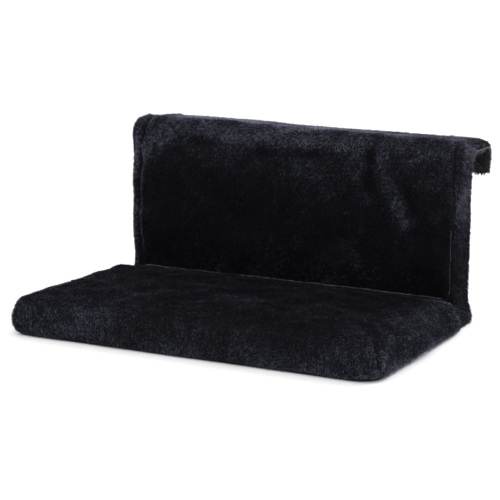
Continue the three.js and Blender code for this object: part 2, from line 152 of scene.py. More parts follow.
class PadSettings(bpy.types.PropertyGroup):
    """Softness of the seat and the back."""

    seat_slope: bpy.props.FloatProperty(
        name="Seat slope", description="Seat's height at the front less its height at the crease",
        default=0.0125, min=0.0, max=0.03, subtype="DISTANCE", unit="LENGTH")
    seat_edge: bpy.props.FloatProperty(
        name="Seat edge radius", description="Rounding of the seat's top edge", default=0.014,
        min=0.004, max=0.03, subtype="DISTANCE", unit="LENGTH")
    corner: bpy.props.FloatProperty(
        name="Right corner radius",
        description="Rounding of the right front corner seen from above",
        default=0.026, min=0.005, max=0.06, subtype="DISTANCE", unit="LENGTH")
    left_corner: bpy.props.FloatProperty(
        name="Left corner radius", description="Rounding of the left front corner seen from above",
        default=0.015, min=0.005, max=0.06, subtype="DISTANCE", unit="LENGTH")
    bulge: bpy.props.FloatProperty(
        name="Side bulge", description="How far the seat's ends stand out at half their height",
        default=0.0065, min=0.0, max=0.02, subtype="DISTANCE", unit="LENGTH")
    pressure: bpy.props.FloatProperty(
        name="Filling pressure", description="How hard the filling pushes the cloth out",
        default=4.0, min=0.0, max=20.0)
    seat_give: bpy.props.FloatProperty(
        name="Seat give", description="Furthest that the seat's cloth may move", default=0.006,
        min=0.0, max=0.03, subtype="DISTANCE", unit="LENGTH")
    back_give: bpy.props.FloatProperty(
        name="Back give", description="Furthest that the back's cloth may move", default=0.007,
        min=0.0, max=0.03, subtype="DISTANCE", unit="LENGTH")
    seam_depth: bpy.props.FloatProperty(
        name="Seam depth", description="How deep a sewn seam is drawn in", default=0.0045, min=0.0,
        max=0.01, subtype="DISTANCE", unit="LENGTH")
    backing: bpy.props.FloatProperty(
        name="Backing thickness", description="Thickness of the cloth under the pile",
        default=0.0009, min=0.0002, max=0.004, subtype="DISTANCE", unit="LENGTH")


class TrimSettings(bpy.types.PropertyGroup):
    """Linings, zip and stitching."""

    stitch_length: bpy.props.FloatProperty(
        name="Stitch length", description="Length of one stitch that shows", default=0.0026,
        min=0.0005, max=0.01, subtype="DISTANCE", unit="LENGTH")
    stitch_gap: bpy.props.FloatProperty(
        name="Stitch gap", description="Space between two stitches", default=0.0010, min=0.0002,
        max=0.01, subtype="DISTANCE", unit="LENGTH")
    thread_radius: bpy.props.FloatProperty(
        name="Thread radius", description="Radius of the sewing thread", default=0.00028,
        min=0.0001, max=0.001, subtype="DISTANCE", unit="LENGTH")
    tooth_pitch: bpy.props.FloatProperty(
        name="Tooth pitch", description="Distance between two turns of a zip coil", default=0.0014,
        min=0.0005, max=0.01, subtype="DISTANCE", unit="LENGTH")
    lining: bpy.props.FloatVectorProperty(
        name="Lining colour", description="Colour of the woven lining", subtype="COLOR", size=3,
        default=(0.016, 0.016, 0.019), min=0.0, max=1.0)
    thread: bpy.props.FloatVectorProperty(
        name="Thread colour", description="Colour of the sewing thread", subtype="COLOR", size=3,
        default=(0.030, 0.031, 0.036), min=0.0, max=1.0)
    # The seam colour is also the painted highlight of the pile along the crease seam.
    seam: bpy.props.FloatVectorProperty(
        name="Seam colour", description="Colour of the bare backing at a seam", subtype="COLOR",
        size=3, default=(0.080, 0.084, 0.094), min=0.0, max=1.0)


class StageSettings(bpy.types.PropertyGroup):
    """Camera, lamps and floor."""

    azimuth: bpy.props.FloatProperty(
        name="Camera azimuth", description="How far the camera stands round to the right",
        default=math.radians(27.36), subtype="ANGLE", unit="ROTATION")
    elevation: bpy.props.FloatProperty(
        name="Camera elevation", description="How far the camera stands above the horizon",
        default=math.radians(11.77), subtype="ANGLE", unit="ROTATION")
    distance: bpy.props.FloatProperty(
        name="Camera distance", description="From the camera to the middle of the bed's foot",
        default=2.010, min=0.1, max=20.0, subtype="DISTANCE", unit="LENGTH")
    lens: bpy.props.FloatProperty(
        name="Lens", description="Focal length on a 36 mm sensor, in millimetres", default=123.1,
        min=10.0, max=400.0)
    sky: bpy.props.FloatProperty(
        name="Surroundings", description="Brightness of the white surroundings", default=1.15,
        min=0.0, max=10.0)
    floor: bpy.props.FloatVectorProperty(
        name="Floor colour", description="Colour of the pale floor", subtype="COLOR", size=3,
        default=(0.90, 0.90, 0.905), min=0.0, max=1.0)


# ---- Arrays: noise, profiles and sampling --------------------------------------------------------


def waves(points, longest, shortest, count, seed):
    """Smooth noise: the mean of `count` sine waves that cross space in random directions with
    wavelengths between `shortest` and `longest`, scaled so that its spread is about one."""
    rng = np.random.default_rng(seed)
    way = rng.normal(size=(count, 3))
    way /= np.linalg.norm(way, axis=1, keepdims=True)
    length = shortest * (longest / shortest) ** rng.random(count)
    phase = rng.random(count) * 2 * np.pi
    angle = points @ (way * (2 * np.pi / length)[:, None]).T + phase
    return np.sin(angle).sum(1) * math.sqrt(2 / count)


def line_waves(along, longest, shortest, count, seed):
    """The same noise along a line, from the distance along it."""
    return waves(np.column_stack([along, 0 * along, 0 * along]), longest, shortest, count, seed)


def bump(distance, width):
    """A smooth hill of height one: the exponential of minus the squared distance over the width."""
    return np.exp(-((distance / width) ** 2))


def ease(values, low, high):
    """Zero below `low`, one above `high`, and smooth between them."""
    t = np.clip((values - low) / (high - low), 0, 1)
    return t * t * (3 - 2 * t)


def filleted(points, radii, steps=6):
    """A closed outline with each corner replaced by an arc of its radius, drawn in `steps` parts.
    The arc touches both edges at the radius over the tangent of half the corner's angle."""
    points = np.asarray(points, float)
    before = np.roll(points, 1, 0) - points
    after = np.roll(points, -1, 0) - points
    before /= np.linalg.norm(before, axis=1, keepdims=True)
    after /= np.linalg.norm(after, axis=1, keepdims=True)
    half = np.arccos(np.clip((before * after).sum(1), -1, 1)) / 2
    radii = np.asarray(radii, float)
    middle = before + after
    middle /= np.maximum(np.linalg.norm(middle, axis=1, keepdims=True), 1e-9)
    centre = points + middle * (radii / np.sin(half))[:, None]
    start = points + before * (radii / np.tan(half))[:, None] - centre
    turn = np.pi - 2 * half
    side = np.sign(start[:, 0] * middle[:, 1] - start[:, 1] * middle[:, 0])
    angle = -(side * turn)[:, None] * np.linspace(0, 1, steps + 1)
    cos, sin = np.cos(angle), np.sin(angle)
    x = start[:, :1] * cos - start[:, 1:] * sin
    y = start[:, :1] * sin + start[:, 1:] * cos
    return (np.stack([x, y], -1) + centre[:, None]).reshape(-1, 2)


def evenly(points, count, closed=True):
    """The same line through `count` points at equal distances along it."""
    line = np.vstack([points, points[:1]]) if closed else np.asarray(points)
    step = np.linalg.norm(np.diff(line, axis=0), axis=1)
    along = np.concatenate([[0], np.cumsum(step)])
    at = np.linspace(0, along[-1], count, endpoint=not closed)
    return np.stack([np.interp(at, along, line[:, k]) for k in range(line.shape[1])], 1)


def left_normals(outline):
    """Unit normals of a closed outline, to the left of its direction."""
    tangent = np.roll(outline, -1, 0) - np.roll(outline, 1, 0)
    tangent /= np.maximum(np.linalg.norm(tangent, axis=1, keepdims=True), 1e-12)
    return np.stack([-tangent[:, 1], tangent[:, 0]], 1)


# ---- Meshes --------------------------------------------------------------------------------------


def link(name, mesh):
    """A new object in the scene, with the given mesh, camera or lamp."""
    piece = bpy.data.objects.new(name, mesh)
    bpy.context.scene.collection.objects.link(piece)
    return piece


def new_piece(name, vertices, faces):
    """A smooth object with the given vertices and faces, placed in its mesh."""
    mesh = bpy.data.meshes.new(name)
    faces = faces if isinstance(faces, list) else faces.tolist()
    mesh.from_pydata(np.asarray(vertices, float).tolist(), [], faces)
    mesh.validate()
    mesh.update()
    mesh.shade_smooth()
    return link(name, mesh)


def grid_faces(rows, columns, closed=False):
    """Quads between neighbouring points of a grid stored row by row. Closed rows run in a ring."""
    r, c = np.arange(rows - 1)[:, None], np.arange(columns if closed else columns - 1)
    row, above, beside = r * columns, (r + 1) * columns, (c + 1) % columns
    return np.stack([row + c, row + beside, above + beside, above + c], -1).reshape(-1, 4)


def capped(rows, columns):
    """Quads of a grid of closed rows, and one face across each of its two ends."""
    last = (rows - 1) * columns
    ends = [list(range(columns)), [last + i for i in reversed(range(columns))]]
    return grid_faces(rows, columns, True).tolist() + ends


def coordinates(piece):
    """A piece's vertices as an array."""
    found = np.empty(len(piece.data.vertices) * 3, np.float32)
    piece.data.vertices.foreach_get("co", found)
    return found.reshape(-1, 3).astype(float)


def vertex_normals(piece):
    """A piece's vertex normals as an array."""
    found = np.empty(len(piece.data.vertices) * 3, np.float32)
    piece.data.vertex_normals.foreach_get("vector", found)
    return found.reshape(-1, 3).astype(float)


def set_coordinates(piece, places):
    """Moves a piece's vertices."""
    piece.data.vertices.foreach_set("co", np.asarray(places, np.float32).ravel())
    piece.data.update()


def faces_out(piece, merge=0.0):
    """Merges doubled vertices and turns every face of a closed mesh outwards."""
    work = bmesh.new()
    work.from_mesh(piece.data)
    if merge:
        bmesh.ops.remove_doubles(work, verts=work.verts, dist=merge)
    bmesh.ops.recalc_face_normals(work, faces=work.faces)
    work.to_mesh(piece.data)
    work.free()
    piece.data.update()


def apply_modifiers(piece):
    """Replaces a piece's mesh by what its modifiers make of it."""
    graph = bpy.context.evaluated_depsgraph_get()
    made = bpy.data.meshes.new_from_object(piece.evaluated_get(graph))
    old = piece.data
    piece.modifiers.clear()
    piece.data = made
    made.name = piece.name
    bpy.data.meshes.remove(old)


def remeshed(piece):
    """Gives a closed piece an even mesh of squares as wide as the swollen cloth's."""
    step = piece.modifiers.new("even", "REMESH")
    step.mode = "VOXEL"
    step.voxel_size = CLOTH_MESH
    step.use_smooth_shade = True
    apply_modifiers(piece)


def stuffed(piece, held, give, slack, pressure):
    """Swells a closed mesh as cloth over a filling. The `held` vertices stay, no other ends more
    than `give` from where it began, which may vary over the mesh, and none sinks into the
    filling."""
    start, facing = coordinates(piece), vertex_normals(piece)
    group = piece.vertex_groups.new(name="held")
    group.add(np.flatnonzero(held).tolist(), 1.0, "REPLACE")
    cloth = piece.modifiers.new("stuffing", "CLOTH")
    how = cloth.settings
    how.quality = 6
    how.mass = 0.25
    how.tension_stiffness = how.compression_stiffness = 12
    how.shear_stiffness = 4
    how.bending_stiffness = 0.4
    how.shrink_min = -slack
    how.use_pressure = True
    how.uniform_pressure_force = pressure
    how.vertex_group_mass = "held"
    how.effector_weights.gravity = 0
    cloth.point_cache.frame_start, cloth.point_cache.frame_end = 1, CLOTH_STEPS
    scene = bpy.context.scene
    for step in range(1, CLOTH_STEPS + 1):
        scene.frame_set(step)
    apply_modifiers(piece)
    scene.frame_set(1)
    piece.vertex_groups.clear()
    moved = coordinates(piece) - start
    far = np.linalg.norm(moved, axis=1, keepdims=True)
    moved *= np.minimum(1, give / np.maximum(far, 1e-9))
    sunk = np.minimum((moved * facing).sum(1, keepdims=True) + 0.0004, 0)
    set_coordinates(piece, start + moved - sunk * facing)


def divided(piece):
    """Subdivides a piece smoothly, once."""
    step = piece.modifiers.new("fine", "SUBSURF")
    step.levels = step.render_levels = 1
    apply_modifiers(piece)


def part_of(piece, name, keep):
    """A new piece with only the faces for which `keep` is true."""
    mesh = piece.data.copy()
    work = bmesh.new()
    work.from_mesh(mesh)
    work.faces.ensure_lookup_table()
    bmesh.ops.delete(work, geom=[work.faces[i] for i in np.flatnonzero(~keep)], context="FACES")
    work.to_mesh(mesh)
    work.free()
    mesh.name = name
    mesh.shade_smooth()
    return link(name, mesh)


def face_centres(piece):
    """Each face's middle and normal."""
    middle = np.empty(len(piece.data.polygons) * 3, np.float32)
    normal = np.empty_like(middle)
    piece.data.polygons.foreach_get("center", middle)
    piece.data.polygons.foreach_get("normal", normal)
    return middle.reshape(-1, 3).astype(float), normal.reshape(-1, 3).astype(float)


def thickened(piece, thickness):
    """Gives an open skin a wall on its inner side, closed along its edges."""
    wall = piece.modifiers.new("wall", "SOLIDIFY")
    wall.thickness = thickness
    wall.offset = -1
    wall.use_even_offset = False
    apply_modifiers(piece)
    piece.data.shade_smooth()


def discard(piece):
    """Removes a working piece."""
    mesh = piece.data
    bpy.data.objects.remove(piece)
    bpy.data.meshes.remove(mesh)


def tube(name, path, radius, sides=10):
    """A round bead: a circle of `sides` points carried along a path, square to it, with a cap at
    each end."""
    path = np.asarray(path, float)
    along = np.gradient(path, axis=0)
    along /= np.linalg.norm(along, axis=1, keepdims=True)
    level = np.abs(along[:, 2]).max() < 0.9
    across = np.cross(along, (0.0, 0.0, 1.0) if level else (1.0, 0.0, 0.0))
    across /= np.linalg.norm(across, axis=1, keepdims=True)
    above = np.cross(across, along)
    angle = np.linspace(0, 2 * np.pi, sides, endpoint=False)[:, None]
    ring = across[:, None] * np.cos(angle) + above[:, None] * np.sin(angle)
    radius = np.broadcast_to(np.asarray(radius, float), (len(path),))
    points = (path[:, None] + ring * radius[:, None, None]).reshape(-1, 3)
    piece = new_piece(name, points, capped(len(path), sides))
    faces_out(piece)
    return piece


def repeated(name, shape, faces, centres, long, side, up):
    """Many copies of one small shape, each with its own three axes, in one piece."""
    axes = np.stack([np.broadcast_to(a, centres.shape) for a in (long, side, up)], 1)
    points = np.einsum("vk,nkc->nvc", shape, axes) + centres[:, None]
    shifted = np.asarray(faces)[None] + (np.arange(len(centres)) * len(shape))[:, None, None]
    return new_piece(name, points.reshape(-1, 3), shifted.reshape(-1, len(faces[0])))


def bead_shape(length, radius, sides=6, rings=4):
    """A rounded bead along its first axis: circles whose radius follows a flattened half circle.
    All its faces are triangles, and it is closed."""
    t = np.linspace(-1, 1, rings + 2)[1:-1]
    size = radius * (1 - np.abs(t) ** 4) ** 0.25 * (1 - 0.18 * t**2)
    angle = np.linspace(0, 2 * np.pi, sides, endpoint=False)
    ring = np.stack([np.repeat(t * length / 2, sides), np.outer(size, np.cos(angle)).ravel(),
                     np.outer(size, np.sin(angle)).ravel()], 1)
    points = np.vstack([ring, [[-length / 2, 0, 0], [length / 2, 0, 0]]])
    quads = grid_faces(rings, sides, True)
    faces = np.vstack([quads[:, [0, 1, 2]], quads[:, [0, 2, 3]]])
    low, high, last = rings * sides, rings * sides + 1, (rings - 1) * sides
    i = np.arange(sides)
    j = (i + 1) % sides
    ends = np.vstack([np.stack([np.full(sides, low), j, i], 1),
                      np.stack([np.full(sides, high), last + i, last + j], 1)])
    return points, np.vstack([faces, ends])[:, ::-1]


# ---- Materials -----------------------------------------------------------------------------------


def node_group(name, inputs, outputs, build):
    """A shader node group, made once. `build` fills it."""
    if name in bpy.data.node_groups:
        return bpy.data.node_groups[name]
    group = bpy.data.node_groups.new(name, "ShaderNodeTree")
    for label, kind, value in inputs:
        socket = group.interface.new_socket(label, in_out="INPUT", socket_type=kind)
        if value is not None:
            socket.default_value = value
    for label, kind in outputs:
        group.interface.new_socket(label, in_out="OUTPUT", socket_type=kind)
    build(group, group.nodes.new("NodeGroupInput"), group.nodes.new("NodeGroupOutput"))
    return group


def feed(tree, socket, value):
    """Puts a number, a colour or another node's output on a socket."""
    if isinstance(value, bpy.types.NodeSocket):
        tree.links.new(value, socket)
    elif isinstance(value, (int, float)):
        socket.default_value = value
    else:
        socket.default_value = (*value[:3], 1)


def maths(tree, operation, *values, clamp=False):
    """A Math node with numbers or other outputs on its inputs. Returns its output."""
    node = tree.nodes.new("ShaderNodeMath")
    node.operation = operation
    node.use_clamp = clamp
    for socket, value in zip(node.inputs, values):
        feed(tree, socket, value)
    return node.outputs[0]


def blended(tree, factor, first, second):
    """A colour Mix node. Returns its output."""
    node = tree.nodes.new("ShaderNodeMix")
    node.data_type = "RGBA"
    for place, value in ((0, factor), (6, first), (7, second)):
        feed(tree, node.inputs[place], value)
    return node.outputs[2]


def noise(tree, place, scale, detail):
    """A Noise Texture node's factor, at a vector that another node puts out."""
    node = tree.nodes.new("ShaderNodeTexNoise")
    node.inputs["Detail"].default_value = detail
    feed(tree, node.inputs["Vector"], place)
    feed(tree, node.inputs["Scale"], scale)
    return node.outputs["Fac"]


def weave_group():
    """Plain weave: two crossed sets of rounded threads, from sine waves along two axes of a vector
    in metres, taking turns on top, with uneven threads. Puts out a height and a colour factor."""
    def build(group, put, out):
        split = group.nodes.new("ShaderNodeSeparateXYZ")
        group.links.new(put.outputs["Vector"], split.inputs[0])
        pitch = put.outputs["Pitch"]
        turn = maths(group, "DIVIDE", math.pi, pitch)
        first = maths(group, "MULTIPLY", split.outputs[0], turn)
        second = maths(group, "MULTIPLY", split.outputs[1], turn)
        warp = maths(group, "ABSOLUTE", maths(group, "SINE", first))
        weft = maths(group, "ABSOLUTE", maths(group, "SINE", second))
        turns = maths(group, "MULTIPLY", maths(group, "COSINE", first),
                      maths(group, "COSINE", second))
        over = maths(group, "GREATER_THAN", turns, 0.0)
        under = maths(group, "SUBTRACT", 1.0, over)
        height = maths(group, "ADD", maths(group, "MULTIPLY", warp, over),
                       maths(group, "MULTIPLY", weft, under))
        fine = noise(group, put.outputs["Vector"], 900.0, 2.0)
        broad = noise(group, put.outputs["Vector"], 28.0, 3.0)
        feed(group, out.inputs["Height"], maths(group, "MULTIPLY_ADD", fine, 0.35, height))
        feed(group, out.inputs["Shade"], maths(group, "MULTIPLY_ADD", height, 0.55,
                                               maths(group, "MULTIPLY", broad, 0.45)))
    return node_group("plain_weave",
                      [("Vector", "NodeSocketVector", None), ("Pitch", "NodeSocketFloat", 0.0008)],
                      [("Height", "NodeSocketFloat"), ("Shade", "NodeSocketFloat")], build)


def grain_group():
    """Fine grain over broad stains: two noises of a vector in metres. Puts out a height and a
    shade."""
    def build(group, put, out):
        place, scale = put.outputs["Vector"], put.outputs["Scale"]
        fine = noise(group, place, scale, 3.0)
        broad = noise(group, place, maths(group, "MULTIPLY", scale, 0.06), 4.0)
        feed(group, out.inputs["Height"], fine)
        feed(group, out.inputs["Shade"], maths(group, "MULTIPLY_ADD", fine, 0.4,
                                               maths(group, "MULTIPLY", broad, 0.6)))
    return node_group("grain",
                      [("Vector", "NodeSocketVector", None), ("Scale", "NodeSocketFloat", 400.0)],
                      [("Height", "NodeSocketFloat"), ("Shade", "NodeSocketFloat")], build)


def shaded(colour, share):
    """A colour made lighter or darker."""
    return tuple(share * part for part in colour)


def new_material(name, roughness, metallic=0.0, specular=0.5):
    """A material with its Principled shader. Returns the material, its tree and the shader."""
    material = bpy.data.materials.new(name)
    material.use_nodes = True
    shader = material.node_tree.nodes["Principled BSDF"]
    shader.inputs["Roughness"].default_value = roughness
    shader.inputs["Metallic"].default_value = metallic
    shader.inputs["Specular IOR Level"].default_value = specular
    return material, material.node_tree, shader


def patterned(name, group, scale_name, scale, dark, light, roughness, height, metallic=0.0,
              specular=0.5, turn=(0.0, 0.0, 0.0)):
    """A material whose colour runs from `dark` to `light` by a group's shade, with a bump of
    `height` metres from its height. `turn` turns the pattern."""
    if name in bpy.data.materials:
        return bpy.data.materials[name]
    material, tree, shader = new_material(name, roughness, metallic, specular)
    place = tree.nodes.new("ShaderNodeMapping")
    place.inputs["Rotation"].default_value = turn
    feed(tree, place.inputs["Vector"], tree.nodes.new("ShaderNodeTexCoord").outputs["Object"])
    pattern = tree.nodes.new("ShaderNodeGroup")
    pattern.node_tree = group
    pattern.inputs[scale_name].default_value = scale
    tree.links.new(place.outputs[0], pattern.inputs["Vector"])
    shade = maths(tree, "MULTIPLY_ADD", pattern.outputs["Shade"], 1.6, -0.3, clamp=True)
    tree.links.new(blended(tree, shade, dark, light), shader.inputs["Base Color"])
    relief = tree.nodes.new("ShaderNodeBump")
    relief.inputs["Distance"].default_value = height
    tree.links.new(pattern.outputs["Height"], relief.inputs["Height"])
    tree.links.new(relief.outputs[0], shader.inputs["Normal"])
    return material


def pile_material(name, root, dark, light):
    """Colour of a tuft: its darker root colour, painted shade between the tufts, fades to its tip's
    along the second coordinate of the tuft's own map, and the tip's runs from dark to light along
    the first, which carries the painted light and shade of the tone."""
    if name in bpy.data.materials:
        return bpy.data.materials[name]
    material, tree, shader = new_material(name, 0.6, 0.0, 0.03)
    shader.inputs["Sheen Weight"].default_value = 0.015
    shader.inputs["Sheen Roughness"].default_value = 0.4
    shader.inputs["Sheen Tint"].default_value = (0.60, 0.68, 1.0, 1.0)
    own = tree.nodes.new("ShaderNodeUVMap")
    own.uv_map = PILE_MAP
    split = tree.nodes.new("ShaderNodeSeparateXYZ")
    tree.links.new(own.outputs[0], split.inputs[0])
    tip = blended(tree, split.outputs[0], dark, light)
    # Darker towards the root: painted shade between the tufts.
    along = maths(tree, "POWER", split.outputs[1], 1.4, clamp=True)
    tree.links.new(blended(tree, along, root, tip), shader.inputs["Base Color"])
    return material


def plush_material():
    """The plush's pile."""
    plush = bpy.context.scene.bed_plush
    return pile_material("plush_pile", plush.root, plush.dark, plush.light)


def backing_material():
    """The cloth that the pile stands on, seen between the tufts."""
    return patterned("plush_backing", grain_group(), "Scale", 700.0, (0.0025, 0.0025, 0.0032),
                     (0.010, 0.010, 0.013), 0.9, 0.0006, specular=0.1)


def cover(piece, material):
    """Puts one material on a piece."""
    piece.data.materials.clear()
    piece.data.materials.append(material)


def finish_node(node, material):
    """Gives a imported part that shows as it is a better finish."""
    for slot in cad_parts[node].material_slots:
        slot.material = material


def kept(piece):
    """Fixes a piece to the bed."""
    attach(piece, BODY)
    return piece


# ---- Pile ----------------------------------------------------------------------------------------


def skin_samples(piece, per_area, seed, wanted=None):
    """Points spread over a piece's surface: equal shares of its running area, each point moved at
    random within its share. Returns places and smooth normals. `wanted` picks faces."""
    mesh = piece.data
    mesh.calc_loop_triangles()
    corner = np.empty(len(mesh.loop_triangles) * 3, np.int32)
    mesh.loop_triangles.foreach_get("vertices", corner)
    corner = corner.reshape(-1, 3)
    places, normals = coordinates(piece), vertex_normals(piece)
    if wanted is not None:
        corner = corner[wanted(places[corner].mean(1), normals[corner].mean(1))]
    a, b, c = (places[corner[:, k]] for k in range(3))
    area = np.linalg.norm(np.cross(b - a, c - a), axis=1) / 2
    running = np.cumsum(area)
    rng = np.random.default_rng(seed)
    count = int(running[-1] * per_area)
    at = (np.arange(count) + rng.random(count)) / count * running[-1]
    face = np.minimum(np.searchsorted(running, at), len(area) - 1)
    u, v = rng.random((2, count))
    over = u + v > 1
    u, v = np.where(over, 1 - u, u), np.where(over, 1 - v, v)
    share = np.stack([1 - u - v, u, v], 1)[:, :, None]
    point = (places[corner[face]] * share).sum(1)
    normal = (normals[corner[face]] * share).sum(1)
    return point, normal / np.linalg.norm(normal, axis=1, keepdims=True)


def pile(name, skin, material, length, seed, flow, tone, wanted=None, thin=1.0, seam=None):
    """Tufts that stand on a skin. Each is a three-sided spike whose root is a small triangle in the
    skin and whose tip is moved along the normal by the cosine of its lean, and along the pile's own
    direction by the sine. `flow` gives that direction at each place and `tone` how light its tip
    is, with painted light and shade. `seam` gives the distance to the nearest sewn line: tufts on
    it are short and get painted shade, and those beside it lean away from it and get a painted
    highlight. The piece is split along X so that none is too heavy."""
    plush = bpy.context.scene.bed_plush
    point, normal = skin_samples(skin, plush.density * thin, seed, wanted)
    rng = np.random.default_rng(seed + 1)
    count = len(point)
    stroke, extra_lean = flow(point, normal)
    away = np.abs(seam(point)) if seam else np.full(count, 1.0)
    # sewn: short tufts with painted shade on a sewn line; beside: where a painted highlight goes next
    # to it.
    sewn, beside = bump(away, 0.0019), bump(away - 0.0044, 0.0024)
    if seam:
        step = 0.0004
        uphill = np.stack([np.abs(seam(point + step * axis)) - away for axis in np.eye(3)], 1)
        uphill /= step
        stroke = stroke + uphill * (4.0 * bump(away, 0.0042))[:, None]
    stroke = stroke - (stroke * normal).sum(1, keepdims=True) * normal
    stroke /= np.maximum(np.linalg.norm(stroke, axis=1, keepdims=True), 1e-6)
    other = np.cross(normal, stroke)
    clump = waves(point, 0.012, 0.005, 24, seed + 2) * 0.20 + rng.normal(size=count) * 0.40
    stroke = stroke * np.cos(clump)[:, None] + other * np.sin(clump)[:, None]
    lean = plush.lean + extra_lean + waves(point, 0.009, 0.004, 24, seed + 3) * 0.10
    lean = np.clip(lean + rng.normal(size=count) * 0.16, 0.0, 1.35)
    size = length * (0.86 + 0.26 * rng.random(count))
    size *= np.where(rng.random(count) < 0.08, 1.45, 1.0)
    size *= 1 - 0.75 * sewn
    tip = point + (normal * np.cos(lean)[:, None] + stroke * np.sin(lean)[:, None]) * size[:, None]
    tip[:, 2] = np.maximum(tip[:, 2], 0.0004)
    angle = rng.random(count)[:, None] * 2 * np.pi + np.array([0, 2, 4])[None] * np.pi / 3
    side = np.cross(normal, stroke)
    side /= np.linalg.norm(side, axis=1, keepdims=True)
    ahead = np.cross(side, normal)
    radius = plush.radius * (0.8 + 0.4 * rng.random(count)) / math.sqrt(thin)
    root = (point - normal * 0.0004)[:, None] + radius[:, None, None] * (
        ahead[:, None] * np.cos(angle)[:, :, None] + side[:, None] * np.sin(angle)[:, :, None])
    root[:, :, 2] = np.maximum(root[:, :, 2], 0.0002)
    uneven = 0.66 * rng.normal(size=count) - 0.15
    uneven += 0.48 * waves(point, 0.0036, 0.0016, 32, seed + 4)
    uneven += np.where(rng.random(count) < 0.10, 0.9, 0.0)
    # Painted shade on the sewn lines and a painted highlight beside them.
    shade = tone(point, normal) * np.exp(uneven) * (1 - 0.97 * sewn) * (1 + 0.8 * beside)
    shade = np.clip(shade / FULL_TONE, 0.0, 1.0)

    order = np.argsort(point[:, 0], kind="stable")
    parts = max(1, math.ceil(count / MOST_TUFTS))
    for number, chosen in enumerate(np.array_split(order, parts), 1):
        label = name if parts == 1 else f"{name}_{number}"
        tufts(label, root[chosen], tip[chosen], shade[chosen], material)


def tufts(name, root, tip, shade, material):
    """One mesh of spikes with three root corners and a tip. Its map holds each spike's shade,
    within a narrow `half` on either side, along the first coordinate, and the way from root to tip
    along the second."""
    count = len(tip)
    points = np.concatenate([root, tip[:, None]], 1).reshape(-1, 3)
    pattern = np.array([[0, 1, 3], [1, 2, 3], [2, 0, 3], [2, 1, 0]])
    faces = (pattern[None] + 4 * np.arange(count)[:, None, None]).reshape(-1)
    mesh = bpy.data.meshes.new(name)
    mesh.vertices.add(4 * count)
    mesh.vertices.foreach_set("co", points.astype(np.float32).ravel())
    mesh.loops.add(12 * count)
    mesh.loops.foreach_set("vertex_index", faces.astype(np.int32))
    mesh.polygons.add(4 * count)
    mesh.polygons.foreach_set("loop_start", np.arange(0, 12 * count, 3, dtype=np.int32))
    mesh.update(calc_edges=True)
    own = mesh.uv_layers.new(name=PILE_MAP)
    half = 0.006
    flat = np.empty((count, 4, 3, 2))
    flat[..., 0] = shade[:, None, None] * 0.97 + 0.015 + np.array([-half, half, 0])
    flat[..., 1] = np.array([[0.01, 0.01, 0.99]] * 3 + [[0.01, 0.01, 0.05]])
    own.uv.foreach_set("vector", flat.astype(np.float32).ravel())
    mesh.validate()
    mesh.shade_smooth()
    piece = link(name, mesh)
    cover(piece, material)
    kept(piece)


def brushed(base, drift, lift, stray=0.5):
    """A flow for the pile: one direction that drifts with smooth noise, and a lean that does
    too."""
    def flow(point, normal):
        wander = np.stack([waves(point, 0.16, 0.05, 20, drift + k) for k in range(3)], 1)
        lean = lift * waves(point, 0.12, 0.03, 20, drift + 7)
        return np.array(base, float) + stray * wander, lean
    return flow


def streak(point, line, width):
    """A ridge of height one along a line of (X, Z) points: the exponential of minus the squared
    distance from the nearest stretch of the line over the width."""
    spot = point[:, [0, 2]]
    far = np.full(len(spot), 1.0)
    for start, end in zip(np.array(line[:-1], float), np.array(line[1:], float)):
        along = end - start
        share = np.clip((spot - start) @ along / (along @ along), 0, 1)[:, None]
        far = np.minimum(far, np.linalg.norm(spot - start - share * along, axis=1))
    return bump(far, width)


def mottle_and_painted_light(seed, level, patches=(), facing=(), mottle=1.0, streaks=()):
    """How light the tips are, with painted light and shade: a level, hills of painted light and
    shade of a centre, three reaches and a strength, painted light whose strengths rise where the
    skin faces a direction, and streaks of painted light and shade of a line, a width and a
    strength, all made uneven by broad, middling and fine noise."""
    def tone(point, normal):
        value = np.full(len(point), float(level))
        # Painted light on the faces that turn to each given way, and painted light and shade streaks.
        for way, strength in facing:
            value += strength * ease(normal @ np.array(way, float), 0.0, 1.0)
        for line, width, strength in streaks:
            value += strength * streak(point, line, width)
        # Hills of painted light and shade.
        for centre, reach, strength in patches:
            away = (point - np.array(centre)) / np.array(reach)
            value += strength * np.exp(-(away**2).sum(1))
        uneven = (0.28 * waves(point, 0.12, 0.05, 40, seed)
                  + 0.30 * waves(point, 0.035, 0.014, 48, seed + 1)
                  + 0.30 * waves(point, 0.010, 0.005, 48, seed + 2))
        return np.maximum(value, 0.012) * np.exp(uneven * mottle)
    return tone


# ---- Seat ----------------------------------------------------------------------------------------


